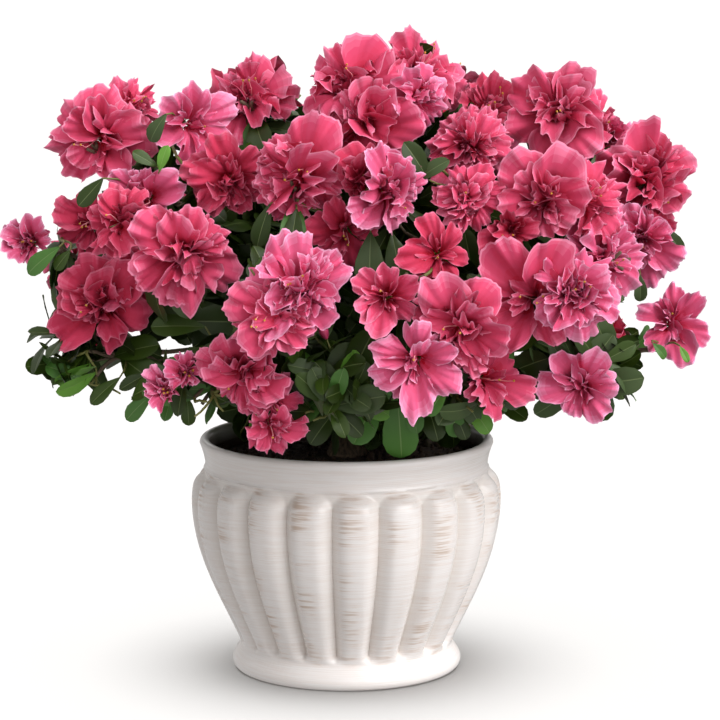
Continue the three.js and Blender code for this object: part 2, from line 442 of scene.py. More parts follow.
def pot_profile():
    """(radius, height) rows from the underside, up the outside, over the lip and down inside."""
    foot = [
        (FOOT_RADIUS - 3.4, 0),
        (FOOT_RADIUS - 1.9, 0.5),
        (FOOT_RADIUS - 0.7, 1.7),
        (FOOT_RADIUS - 0.1, 3.4),
        (FOOT_RADIUS, 5.2),
        (FOOT_RADIUS - 0.7, 7.4),
        (FOOT_RADIUS - 2.0, 9.6),
        (FOOT_RADIUS - 3.4, 11.6),
        (WAIST_RADIUS + 0.6, 13.2),
    ]
    heights = [RIB_START, 15.1, 15.8, 16.6, 17.8, 19.5, 22, 25.5, 30]
    heights += [35, 40, 45, 50, 55, 60, 65, 70, 75, 80, 85, 89.5, 93.5, 97, 100]
    heights += list(np.arange(102, NECK_HEIGHT - 0.9, 0.75))
    wall = [(crest_radius(height), height) for height in heights]
    band = [
        (NECK_RADIUS + 0.7, NECK_HEIGHT - 0.25),
        (NECK_RADIUS - 0.1, NECK_HEIGHT + 0.7),
        (NECK_RADIUS - 0.3, NECK_HEIGHT + 2.6),
        (NECK_RADIUS + 0.1, NECK_HEIGHT + 5.5),
        (NECK_RADIUS + 0.9, NECK_HEIGHT + 9),
        (NECK_RADIUS + 1.8, NECK_HEIGHT + 12),
    ]
    half = LIP_WIDTH / 2
    lip = []
    for turn in np.radians([0, 25, 50, 75, 100, 125, 150, 180]):
        radius = RIM_RADIUS - half + half * math.cos(turn)
        lip.append((radius, POT_HEIGHT - half + half * math.sin(turn)))
    inside = [(inner_radius(height), height) for height in (130, 124, 102, 70, 40, 20)]
    return foot + wall + band + lip + inside + [(INNER_FLOOR_RADIUS, WALL_FLOOR_HEIGHT)]


def rib_depth_at(radius, height, share, depth):
    """How far the wall stands back from the crests. share is -1 to 1 from groove to groove."""
    across = np.abs(share) ** RIB_SQUARENESS
    up = np.clip((height - (ARCH_TOP - ARCH_RISE)) / ARCH_RISE, 0, None)
    from_spine = np.clip(across + up**2.2, 0, 1)
    half_circle = 1 - (1 - from_spine) ** (1 / RIB_SQUARENESS)
    soft_groove = from_spine**2 * (3 - 2 * from_spine)
    roundness = 0.3 * half_circle + 0.7 * soft_groove
    above_wall = np.maximum(radius - NECK_RADIUS, 0)
    deepest = np.where(height > BELLY_HEIGHT, np.minimum(depth, above_wall), depth)
    ledge = smooth_step(RIB_START, RIB_START + RIB_LEDGE, height)
    return deepest * roundness * ledge


def shape_ribs(pot, ribs, depth):
    """Turns the pot's plain belly into ribs, and notes on each vertex where on a rib it lies."""
    points = mesh_points(pot)
    radius = np.hypot(points[:, 0], points[:, 1])
    bearing = np.degrees(np.arctan2(points[:, 0], -points[:, 1]))
    place = (bearing - FIRST_GROOVE_BEARING) / 360 * ribs
    number = np.floor(place + 1e-4)
    share = np.clip(2 * (place - number) - 1, -1, 1)
    crowded = np.sin(share * math.pi / 2) * 0.45 + share * 0.55
    height = points[:, 2]
    outside = radius > np.array([inner_radius(z) + 2 for z in height])
    ribbed = outside & (height > RIB_START) & (height < NECK_HEIGHT - 0.5)
    turn = np.radians(FIRST_GROOVE_BEARING + (number + (crowded + 1) / 2) * 360 / ribs)
    back = np.where(ribbed, rib_depth_at(radius, height, crowded, depth), 0)
    points[:, 0] = np.sin(turn) * (radius - back)
    points[:, 1] = -np.cos(turn) * (radius - back)
    move_points(pot, points)
    worn_side = np.where(ribbed, np.interp(crowded, RIB_PLACES, RIB_WEAR), 0)
    # Painted shade inside the rim: the inner wall above the mix is marked to darken towards the
    # mix.
    inside = ~outside & (height > WALL_FLOOR_HEIGHT + 1)
    near_mix = 1 - smooth_step(MIX_TOP + 2, POT_HEIGHT - 1, height)
    peat_stain = np.where(inside, near_mix, 0)
    notes = {"worn_side": worn_side, "rib_groove": back / depth, "peat_stain": peat_stain}
    for name, values in notes.items():
        note = pot.data.attributes.new(name, "FLOAT", "POINT")
        note.data.foreach_set("value", values.astype(np.float32))


def brush_streaks(tree, place):
    """Noise in level streaks, about 1 mm thick and some 25 mm long, of uneven strength."""
    squeezed = add_node(tree, "Mapping", Vector=(place, "Object"), Scale=(0.05, 0.05, 1.0))
    return add_node(
        tree, "TexNoise", Vector=(squeezed, "Vector"), Scale=800.0, Detail=2.0, Roughness=0.6
    )


def worn_strokes(tree, place, streaks):
    """Where the glaze is worn: the stronger streaks, in patches on the left of each rib."""
    strokes = add_node(tree, "ValToRGB", stops=[(0.44, 0.0), (0.6, 1.0)], Fac=(streaks, "Fac"))
    # Patches: cells 18 mm tall and 23 mm wide, a little less than a rib.
    stretched = add_node(
        tree, "Mapping", Vector=(place, "Object"), Location=(0.5, 0.0, 0.05), Scale=(1.0, 1.0, 1.25)
    )
    patches = add_node(
        tree, "TexNoise", Vector=(stretched, "Vector"), Scale=44.0, Detail=1.0, Roughness=0.5
    )
    uneven_patches = add_node(
        tree,
        "Math",
        {"operation": "MULTIPLY_ADD"},
        slot_0=(streaks, "Fac"),
        slot_1=0.3,
        slot_2=(patches, "Fac"),
    )
    # The shoulder wears most.
    height = add_node(tree, "SeparateXYZ", Vector=(place, "Object"))
    up_share = add_node(
        tree, "Math", {"operation": "DIVIDE"}, slot_0=(height, "Z"), slot_1=POT_HEIGHT * MM
    )
    shoulder = add_node(
        tree,
        "ValToRGB",
        stops=[(0.64, 0.0), (0.73, 0.13), (0.78, 0.13), (0.84, 0.0)],
        Fac=(up_share, "Value"),
    )
    worn_patches = add_node(
        tree,
        "Math",
        {"operation": "ADD"},
        slot_0=(uneven_patches, "Value"),
        slot_1=(shoulder, "Color"),
    )
    patch_mask = add_node(
        tree,
        "ValToRGB",
        stops=[(0.62, 0.0), (0.74, 0.55), (0.88, 1.0)],
        Fac=(worn_patches, "Value"),
    )
    worn = add_node(
        tree,
        "Math",
        {"operation": "MULTIPLY"},
        slot_0=(strokes, "Color"),
        slot_1=(patch_mask, "Color"),
    )
    side = add_node(tree, "Attribute", {"attribute_name": "worn_side"})
    return add_node(
        tree, "Math", {"operation": "MULTIPLY"}, slot_0=(worn, "Value"), slot_1=(side, "Fac")
    )


def glaze_colour(tree, settings, streaks, worn):
    """Cream glaze, with a darker warm tone deeper in the grooves, brush marks, wear and painted
    shade inside the rim.
    """
    # A darker, warmer tone, the stronger the deeper the groove.
    groove = add_node(tree, "Attribute", {"attribute_name": "rib_groove"})
    groove_share = add_node(
        tree, "Math", {"operation": "MULTIPLY"}, slot_0=(groove, "Fac"), slot_1=0.35
    )
    # Faint level brush marks all over, where a warmer coat shows through.
    marks = add_node(tree, "ValToRGB", stops=[(0.38, 0.0), (0.64, 0.2)], Fac=(streaks, "Fac"))
    worn_share = add_node(
        tree, "Math", {"operation": "MULTIPLY"}, slot_0=(worn, "Value"), slot_1=0.53
    )
    # Inside, above the mix, painted shade: the wall turns a dark peat brown towards the mix.
    inner_shade = add_node(tree, "Attribute", {"attribute_name": "peat_stain"})
    coat = (*settings.glaze, 1)
    for share, colour in (
        ((groove_share, "Value"), linear("#DCD3C8")),
        ((marks, "Color"), linear("#D2BCAE")),
        ((worn_share, "Value"), settings.wear),
        ((inner_shade, "Fac"), linear("#4A3A30")),
    ):
        mixed = add_node(
            tree, "Mix", {"data_type": "RGBA"}, Factor=share, slot_6=coat, slot_7=(*colour, 1)
        )
        coat = (mixed, "Result")
    return mixed


def glaze_relief(tree, place, worn):
    """Turning lines, 1.1 mm apart, under the faint relief of the strokes."""
    lines = add_node(
        tree,
        "TexWave",
        {"wave_type": "BANDS", "bands_direction": "Z"},
        Vector=(place, "Object"),
        Scale=290.0,
        Distortion=1.2,
        Detail=2.0,
        Detail_Scale=0.6,
    )
    turned = add_node(tree, "Bump", Strength=0.12, Distance=0.0004, Height=(lines, "Fac"))
    return add_node(
        tree,
        "Bump",
        Strength=0.12,
        Distance=0.0003,
        Height=(worn, "Value"),
        Normal=(turned, "Normal"),
    )


def glazed_earthenware(settings):
    """Satin cream glaze on turned earthenware. The eye gets a soft sheen, fine turning lines, and
    patches of thin tan strokes on the left of each rib, where the glaze was brushed off."""
    material, tree = new_material("satin_glazed_earthenware")
    place = add_node(tree, "TexCoord")
    streaks = brush_streaks(tree, place)
    worn = worn_strokes(tree, place, streaks)
    roughness = add_node(tree, "MapRange", Value=(worn, "Value"), To_Min=0.24, To_Max=0.6)
    shader = add_node(
        tree,
        "BsdfPrincipled",
        Base_Color=(glaze_colour(tree, settings, streaks, worn), "Result"),
        Roughness=(roughness, "Result"),
        IOR=1.5,
        Normal=(glaze_relief(tree, place, worn), "Normal"),
    )
    add_node(tree, "OutputMaterial", Surface=(shader, "BSDF"))
    return material


class AZALEA_OT_pot(bpy.types.Operator):
    """Models the ribbed pot and gives it its glaze"""

    bl_idname = "azalea.pot"
    bl_label = "Pot"

    def execute(self, context):
        settings = context.scene.azalea_pot
        sides = settings.ribs * COLUMNS_PER_RIB
        pot = raise_rings("glazed_pot", pot_profile(), sides, FIRST_GROOVE_BEARING - 90)
        shape_ribs(pot, settings.ribs, settings.rib_depth / MM)
        bpy.ops.object.shade_smooth_by_angle(angle=math.radians(60))
        pot.data.materials.append(glazed_earthenware(settings))
        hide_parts("pot")
        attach(pot, "root")
        return {"FINISHED"}


# ---- Potting mix

MIX_EDGE_DROP = 2.5
MIX_GAP = 0.3  # between the mix and the pot
MIX_RINGS = 34
MIX_SIDES = 120
CRUMBS = 620


def peat_material(settings):
    """Damp peat-based mix. The eye gets a dark crumbly surface with brown and mossy flecks."""
    material, tree = new_material("damp_crumbly_peat")
    place = add_node(tree, "TexCoord")
    # Crumbs of about 2 mm and less.
    crumbs = add_node(
        tree, "TexNoise", Vector=(place, "Object"), Scale=420.0, Detail=6.0, Roughness=0.7
    )
    peat = tuple(settings.peat)
    browns = [
        (0.36, shaded(peat, 0.35)),
        (0.5, peat),
        (0.62, linear("#4E3A26")),
        (0.72, linear("#6B5334")),
    ]
    colour = add_node(tree, "ValToRGB", stops=browns, Fac=(crumbs, "Fac"))
    # Mossy patches, some 15 mm across.
    patches = add_node(tree, "TexNoise", Vector=(place, "Object"), Scale=60.0, Detail=2.0)
    moss_share = add_node(tree, "ValToRGB", stops=[(0.56, 0.0), (0.7, 0.5)], Fac=(patches, "Fac"))
    mossy = add_node(
        tree,
        "Mix",
        {"data_type": "RGBA"},
        Factor=(moss_share, "Color"),
        slot_6=(colour, "Color"),
        slot_7=(*linear("#3B3F1C"), 1),
    )
    bump = add_node(tree, "Bump", Strength=0.9, Distance=0.002, Height=(crumbs, "Fac"))
    shader = add_node(
        tree,
        "BsdfPrincipled",
        Base_Color=(mossy, "Result"),
        Roughness=0.92,
        Normal=(bump, "Normal"),
    )
    add_node(tree, "OutputMaterial", Surface=(shader, "BSDF"))
    return material


def mix_height(x, y):
    """Height of the potting mix's loose surface."""
    out = math.hypot(x, y) / INNER_BELLY_RADIUS
    place = Vector((x, y, 0))
    lumps = noise.fractal(place / 7, 0.8, 2.0, 4)
    return MIX_TOP - MIX_EDGE_DROP * out**4 + 0.9 * lumps


def scatter_crumbs(rng):
    """Small broken lumps and chips of peat that lie on the surface."""
    gathered = Faces()
    corners = np.array([[1, 0, 0], [0, 1, 0], [-1, 0, 0], [0, -1, 0]], float)
    for _ in range(CRUMBS):
        reach = (INNER_BELLY_RADIUS - 2) * math.sqrt(rng.uniform(0.02, 1))
        turn = rng.uniform(0, 2 * math.pi)
        x, y = reach * math.cos(turn), reach * math.sin(turn)
        size = rng.uniform(0.7, 2.3) * (1 if rng.random() < 0.85 else 1.6)
        sizes = size * rng.uniform(0.5, 1.2, 3)
        spin = rng.uniform(0, math.pi)
        rings = []
        for level, width in ((-1, 0.3), (-0.45, 0.95), (0.4, 1.0), (1, 0.35)):
            ring = corners * width * rng.uniform(0.75, 1.2, (4, 1))
            ring[:, 2] = level * rng.uniform(0.8, 1.1)
            rings.append(ring * sizes)
        points = np.array(rings)
        turned = points.copy()
        turned[..., 0] = points[..., 0] * math.cos(spin) - points[..., 1] * math.sin(spin)
        turned[..., 1] = points[..., 0] * math.sin(spin) + points[..., 1] * math.cos(spin)
        turned += [x, y, mix_height(x, y) + sizes[2] * 0.3]
        gathered.add_grids(turned[None], np.zeros((1, 3), int), close_round=True)
        # One face closes each end of the lump's four rings.
        start = gathered.count - 16
        gathered.faces.append([start + 3, start + 2, start + 1, start])
        gathered.faces.append([start + 12, start + 13, start + 14, start + 15])
        gathered.slots.append(np.zeros(2, int))
    return gathered


class AZALEA_OT_potting_mix(bpy.types.Operator):
    """Models the potting mix with its loose surface and crumbs"""

    bl_idname = "azalea.potting_mix"
    bl_label = "Potting mix"

    def execute(self, context):
        edge = MIX_TOP - MIX_EDGE_DROP
        rings = [(INNER_FLOOR_RADIUS - MIX_GAP, WALL_FLOOR_HEIGHT + MIX_GAP)]
        for height in (20, 40, 70, 102, edge):
            rings.append((inner_radius(height) - MIX_GAP, height))
        for ring in range(1, MIX_RINGS):
            rings.append(((INNER_BELLY_RADIUS - MIX_GAP) * (1 - ring / MIX_RINGS), MIX_TOP))
        mix = raise_rings("potting_mix_fill", rings, MIX_SIDES)
        points = mesh_points(mix)
        for point in points:
            if point[2] > edge - 0.1:
                point[2] = mix_height(point[0], point[1])
        move_points(mix, points)
        bpy.ops.object.shade_smooth()
        material = peat_material(context.scene.azalea_pot)
        mix.data.materials.append(material)
        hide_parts("potting_mix")
        gathered = scatter_crumbs(np.random.default_rng(5))
        crumbs = gathered.to_object("potting_mix_crumbs", [material])
        for piece in (mix, crumbs):
            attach(piece, "root")
        return {"FINISHED"}


# ---- Growth: masses, limbs, blossoms and shoots

SHOOT_INSET = 14  # shoots end this far inside a mass, so that their leaves fill its outline
LEAF_MARGIN = 4  # how far leaves may reach out of the low masses
TOP_LEAF_INSET = 18  # how far inside the top masses they stay
CROWN_FLOOR = 172  # height that leaves at the front stay above
CROWN_FLOOR_BACK = 148
POT_MOUTH = 76  # leaves nearer than this to the axis may hang lower, over the mix
CROWN_FRONT = -95  # how far back the plane stands that the gaps in the crown are measured on
TOP_LEVEL = 335  # above this no leaf stands over the blossoms
BLOSSOM_FOOT = 0.42  # from a blossom's centre back to its stalk, as a share of its diameter
BLOSSOM_TRIES = 60
CORE = np.array([0.0, 0.0, 215.0])  # where the crown's shoots seem to come from
Mass = namedtuple("Mass", "name centre half out")
Bloom = namedtuple("Bloom", "centre axis diameter form tint mass")
Shoot = namedtuple("Shoot", "line kind mass")

# The blossoms of the full front: [mass, shares of its box across, back and up, diameter,
# form, tint, bearing and elevation that it faces]. A tint is partly the blossom's own colour and
# partly painted light and shade: light where a blossom is lit, deep where it lies in shade.
FRONT_BLOSSOMS = [
    ("upper_left", 0.45, 0.35, 0.60, 64, "double", "rose", -18, 4),
    ("upper_left", 0.75, 0.80, 0.85, 40, "frilled", "rose", 40, 30),
    ("left_shoulder", 0.52, 0.60, 0.84, 52, "star", "light", 25, 2),
    ("top_left", 0.50, 0.50, 0.66, 56, "frilled", "rose", -5, 42),
    ("crown_tip", 0.22, 0.25, 0.60, 64, "double", "rose", -14, 34),
    ("crown_tip", 0.32, 0.02, 0.22, 56, "double", "rose", -12, 2),
    ("crown_tip", 0.68, 0.55, 0.74, 58, "frilled", "rose", 22, 48),
    ("crown_tip", 0.70, 0.12, 0.44, 44, "double", "light", 35, 0),
    ("upper_front_right", 0.10, 0.70, 0.82, 48, "frilled", "rose", 5, 15),
    ("top_right", 0.16, 0.50, 0.64, 46, "double", "deep", 0, 45),
    ("top_right", 0.55, 0.22, 0.58, 60, "double", "rose", -8, 16),
    ("top_right", 0.88, 0.65, 0.45, 44, "double", "rose", 55, 15),
    ("right_shoulder", 0.62, 0.28, 0.52, 68, "frilled", "rose", 22, 8),
    ("right_shoulder", 0.60, 0.35, 0.08, 46, "double", "rose", 20, -22),
    ("right_front", 0.74, 0.68, 0.58, 48, "double", "light", -5, -16),
    ("upper_front_right", 0.56, 0.25, 0.44, 60, "rose", "rose", -5, 12),
    ("upper_front_right", 0.90, 0.45, 0.40, 46, "double", "rose", 30, 12),
    ("upper_front", 0.94, 0.36, 0.36, 42, "frilled", "rose", 5, 8),
    ("upper_front", 0.36, 0.24, 0.34, 50, "double", "light", 30, -14),
    ("upper_front", 0.10, 0.36, 0.48, 42, "cup", "deep", 0, 30),
    ("upper_front_left", 0.52, 0.34, 0.66, 60, "frilled", "rose", -10, 10),
    ("upper_front_left", 0.84, 0.36, 0.20, 44, "star", "deep", 0, -18),
    ("left_shoulder", 0.80, 0.30, 0.48, 50, "double", "deep", 8, 2),
    ("left_shoulder", 0.12, 0.40, 0.30, 50, "star", "light", -22, -8),
    ("left_tip", 0.72, 0.28, 0.80, 44, "star", "deep", -8, -8),
    ("left_tip", 0.20, 0.42, 0.62, 37, "cup", "light", -10, 8),
    ("left_front", 0.70, 0.26, 0.56, 62, "double", "rose", 4, -4),
    ("left_front", 0.24, 0.42, 0.78, 46, "double", "deep", -22, 12),
    ("lower_left", 0.47, 0.18, 0.82, 62, "double", "deep", -18, -4),
    ("lower_left", 0.66, 0.32, 1.04, 46, "double", "rose", -8, 22),
    ("middle_front_left", 0.70, 0.20, 0.60, 60, "frilled", "light", 8, 24),
    ("middle_front_left", 0.50, 0.18, 0.36, 52, "double", "rose", -20, -6),
    ("middle_front", 0.35, 0.26, 0.42, 46, "funnel", "rose", -4, 4),
    ("middle_front", 0.74, 0.50, 0.74, 42, "star", "deep", 8, 12),
    ("middle_front", 0.82, 0.20, 0.16, 60, "double", "rose", -14, -4),
    ("middle_front_right", 0.52, 0.20, 0.48, 70, "star", "rose", -12, 4),
    ("middle_front_right", 0.86, 0.10, 0.60, 50, "frilled", "light", 18, 14),
    ("right_front", 0.48, 0.38, 0.56, 50, "double", "light", 24, 16),
    ("middle_front", 0.54, 0.16, -0.10, 52, "star", "light", -6, -6),
    ("lower_right_front", 0.50, 0.12, 0.48, 50, "funnel", "light", -20, 4),
    ("right_tip", 0.62, 0.30, 0.82, 48, "star", "light", 6, 18),
    ("lower_front_left", 0.72, 0.12, 0.58, 54, "double", "rose", -10, -18),
    ("lower_front_left", 0.96, 0.16, 0.44, 34, "star", "rose", 20, -10),
    ("lower_front", 0.03, 0.26, 0.26, 36, "star", "rose", 8, -30),
    ("lower_front_left", 0.24, 0.26, 0.50, 30, "cup", "light", -22, 0),
    ("lower_front_left", 0.38, 0.26, 0.62, 26, "cup", "light", 12, 12),
    ("upper_front_right", 0.34, 0.28, 0.16, 42, "cup", "deep", -8, 0),
    ("top_right", 0.02, 0.20, 0.30, 44, "double", "rose", -10, 4),
]

# Leaves with a set place: [foot across, back and up, tip across, back and up, tone].
SET_LEAVES = [
    # inside and over the front of the rim
    (19, -76, 178, 4, -89, 152, 3),
    (29, -80, 181, 33, -95, 141, 3),
    (36, -76, 178, 41, -88, 158, 3),
    (60, -72, 173, 65, -73, 150, 3),
    (61, -70, 184, 78, -82, 163, 1),
    (70, -70, 172, 83, -79, 157, 4),
    (62, -68, 167, 70, -73, 151, 0),
    (46, -60, 172, 53, -79, 155, 0),
    (-4, -72, 170, -22, -82, 151, 0),
    (4, -64, 172, 8, -88, 158, 0),
    (-24, -60, 176, -28, -84, 158, 0),
    (84, -64, 176, 104, -73, 163, 2),
    # between the blossoms of the middle
    (14, -112, 275, 13, -124, 245, 1),
    (26, -110, 274, 31, -121, 250, 0),
    (-27, -112, 288, -31, -124, 264, 0),
    (-42, -106, 290, -51, -117, 268, 0),
    (46, -110, 304, 35, -120, 325, 0),
    (39, -109, 303, 54, -119, 317, 1),
    (-101, -78, 338, -113, -84, 324, 1),
    (-105, -86, 306, -101, -90, 321, 4),
    (-106, -84, 309, -119, -88, 318, 2),
    (-137, -80, 302, -151, -84, 287, 0),
    # under the left tip
    (-163, -72, 262, -184, -76, 249, 3),
    (-157, -70, 260, -167, -74, 250, 2),
    # the spray at the lower left
    (-148, -66, 182, -172, -70, 197, 3),
    (-130, -68, 186, -148, -74, 173, 2),
    (-111, -70, 177, -128, -76, 164, 3),
    (-100, -70, 176, -104, -78, 163, 3),
    (-91, -72, 176, -90, -80, 160, 2),
    (-113, -68, 189, -130, -74, 181, 0),
    (-80, -78, 217, -111, -82, 220, 2),
    # the lower right
    (136, -92, 231, 155, -97, 202, 1),
    (113, -98, 215, 129, -104, 192, 1),
    (142, -82, 204, 161, -88, 177, 2),
    (168, -70, 246, 169, -73, 229, 1),
    (145, -84, 239, 158, -86, 234, 2),
    (142, -82, 243, 155, -84, 243, 0),
    (176, -66, 206, 186, -69, 198, 3),
    (192, -64, 204, 197, -67, 195, 4),
    (183, -42, 270, 198, -50, 256, 0),
]

# Where the surround shows between leaves and blossoms, seen from the front: [across and up on
# the plane at the front of the crown, radius].
SKY_GAPS = [
    (-27, 356, 6),
    (-34, 374, 10),
    (-98, 209, 6),
    (-119, 221, 3),
    (-132, 190, 5),
    (168, 232, 8),
    (184, 246, 12),
    (190, 190, 14),
    (206, 206, 12),
]

# How many blossoms the branching rule gives each other mass, by the start of its name.
RULE_BLOSSOMS = {"top": 4, "upper": 4, "middle": 3, "left": 3, "right": 3, "lower": 2}
RULE_FORMS = ["double", "frilled", "double", "rose", "star", "double"]
TINTS = ["deep", "rose", "light"]

# Share of the leafy shoots that are left out, in the masses that the surround shows through.
THINNED = {
    "right_tip": 0.95,
    "lower_right_front": 0.5,
    "lower_left": 0.75,
    "lower_left_back": 0.88,
    "lower_front_left": 0.4,
    "left_tip": 0.5,
}
FORKS_PER_MASS = 6
SHOOTS_PER_FORK = 4
SHORTEST_SHOOT = 11
LOW_SHOOTS = 48  # short shoots round the foot of the boughs
RIM_SHOOTS = 30  # short shoots that hang inside the rim at the sides and back
# Rooms inside the crown that leafy shoots fill: [middle, half sizes, shoots].
ROOMS = (
    ((8.0, 6.0, 250.0), (132.0, 94.0, 62.0), 150),  # the core
    ((12.0, 118.0, 222.0), (34.0, 26.0, 30.0), 22),  # hollows between the masses at the back
    ((-108.0, 66.0, 222.0), (28.0, 34.0, 30.0), 22),
)


def foliage_masses():
    """Each packed mass of foliage as a centre, half sizes and the way out of the crown."""
    masses = {}
    for node in sorted(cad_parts):
        if node.startswith("foliage_"):
            name = node.removeprefix("foliage_")
            low, high = node_box(node)
            centre = (low + high) / 2
            masses[name] = Mass(name, centre, (high - low) / 2, unit(centre - CORE))
    return masses


def low_share(mass):
    """0 for the masses at the top, which are nearly all blossom, to 1 for the leafy low ones."""
    return float(np.clip((300 - mass.centre[2]) / 100, 0, 1))


def toward_skin(mass, way, share):
    """The point a share of the way out from a mass's centre to where its shoots end."""
    reach = 0.55 + 0.45 * low_share(mass)
    return mass.centre + (mass.half - SHOOT_INSET) * way * reach * share


def within_crown(points):
    """For each point, whether it lies where leaves may reach: a little out of the low masses,
    but well inside the top ones, under their blossoms."""
    found = np.zeros(len(points), bool)
    for mass in foliage_masses().values():
        margin = -TOP_LEAF_INSET + (LEAF_MARGIN + TOP_LEAF_INSET) * low_share(mass)
        offset = np.abs(points - mass.centre) / (mass.half + margin)
        found |= (offset**2.4).sum(1) < 1
    for middle, half, _ in ROOMS:
        offset = (points - np.array(middle)) / (np.array(half) + 12)
        found |= (offset**2).sum(1) < 1
    return found


def bough_lines():
    """The centreline of each packed bough from the stem outwards, as points and radii."""
    low, high = node_box("stem")
    stem = (low + high) / 2
    lines = {}
    for node, solid in sorted(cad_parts.items()):
        if not node.startswith("bough_"):
            continue
        points = mesh_points(solid)
        away = np.hypot(points[:, 0] - stem[0], points[:, 1] - stem[1]) + 0.3 * points[:, 2]
        root = points[away < np.percentile(away, 12)].mean(0)
        tip = points[away > np.percentile(away, 88)].mean(0)
        way = unit(tip - root)
        along = (points - root) @ way
        centres, radii = [], []
        for station in np.linspace(0, along.max(), 5):
            near = np.argsort(np.abs(along - station))[:14]
            centre = points[near].mean(0)
            centres.append(centre)
            off_line = points[near] - centre
            off_line -= np.outer(off_line @ way, way)
            radii.append(np.median(np.linalg.norm(off_line, axis=1)))
        lines[node.removeprefix("bough_")] = (np.array(centres), np.array(radii))
    return lines


def limb_stations(boughs):
    """(place, radius, way) of points along the boughs, where thinner wood may branch off."""
    stations = []
    for line, radii in boughs.values():
        for share in np.linspace(0.2, 1, 9):
            at = share * (len(line) - 1)
            radius = np.interp(at, range(len(line)), radii)
            way = unit(line[min(int(at) + 1, len(line) - 1)] - line[max(int(at) - 1, 0)])
            stations.append((place_on(line, at), radius, way))
    return stations


def behind(bloom, share):
    """The point behind a blossom's centre, by a share of its diameter."""
    return bloom.centre - bloom.axis * share * bloom.diameter


def set_leaves():
    """The foot, tip and tone of each leaf with a set place."""
    return [(np.array(row[:3], float), np.array(row[3:6], float), row[6]) for row in SET_LEAVES]


def front_blooms(masses):
    """The blossoms that have a set place."""
    blooms = []
    for name, across, back, up, diameter, form, tint, bearing, elevation in FRONT_BLOSSOMS:
        shares = np.array([across, back, up])
        centre = masses[name].centre + masses[name].half * (2 * shares - 1)
        axis = facing(bearing, elevation)
        blooms.append(Bloom(centre, axis, diameter, form, TINTS.index(tint), name))
    return blooms


def rule_blooms(masses, placed, typical, rng):
    """Blossoms for the masses without a set one, kept apart from those that are placed."""
    blooms = []
    taken = {bloom.mass for bloom in placed}
    for name, mass in masses.items():
        if name in taken:
            continue
        wanted = RULE_BLOSSOMS[name.split("_")[0]]
        for _ in range(BLOSSOM_TRIES):
            if wanted == 0:
                break
            way = unit(mass.out + rng.normal(0, 0.55, 3) + [0, 0, 0.25])
            if way @ mass.out < 0.3 or (name.startswith("lower") and way[2] < -0.35):
                continue
            diameter = typical * rng.uniform(0.8, 1.18)
            centre = mass.centre + mass.half * way * rng.uniform(0.62, 0.8)
            gaps = [
                np.linalg.norm(centre - other.centre) - 0.42 * (diameter + other.diameter)
                for other in placed + blooms
            ]
            if min(gaps) < 0 or in_sky(centre[None], 0.38 * diameter)[0]:
                continue
            axis = unit(0.75 * way + 0.5 * mass.out + [0, 0, 0.12])
            form = RULE_FORMS[int(rng.integers(len(RULE_FORMS)))]
            blooms.append(Bloom(centre, axis, diameter, form, int(rng.integers(3)), name))
            wanted -= 1
    return blooms


def in_sky(points, margin):
    """For each point, whether it would close one of the gaps that the surround shows through."""
    eye = np.array(CAMERA_PLACE, float)
    share = (CROWN_FRONT - eye[1]) / (points[:, 1] - eye[1])
    seen = eye + (points - eye) * share[:, None]
    found = np.zeros(len(points), bool)
    for across, up, radius in SKY_GAPS:
        found |= np.hypot(seen[:, 0] - across, seen[:, 2] - up) < radius + margin
    return found


def above_blossoms(points, blooms):
    """For each point, whether it stands over the blossoms at the top of the crown."""
    highest = np.zeros(len(points))
    for bloom in blooms:
        near = np.linalg.norm((points - bloom.centre)[:, :2], axis=1) < 0.75 * bloom.diameter
        top = bloom.centre[2] + 0.12 * bloom.diameter
        highest[near] = np.maximum(highest[near], top)
    return (points[:, 2] > TOP_LEVEL) & (points[:, 2] > highest)


def covered(points, blooms):
    """For each point, whether it lies among a blossom's petals or in front of them."""
    found = np.zeros(len(points), bool)
    for bloom in blooms:
        offset = points - bloom.centre
        ahead = offset @ bloom.axis
        aside = np.linalg.norm(offset - np.outer(ahead, bloom.axis), axis=1)
        reach = bloom.diameter * np.where(ahead > 0, 0.5, 0.4)
        found |= (aside < reach) & (ahead > -0.2 * bloom.diameter) & (ahead < 60)
    return found


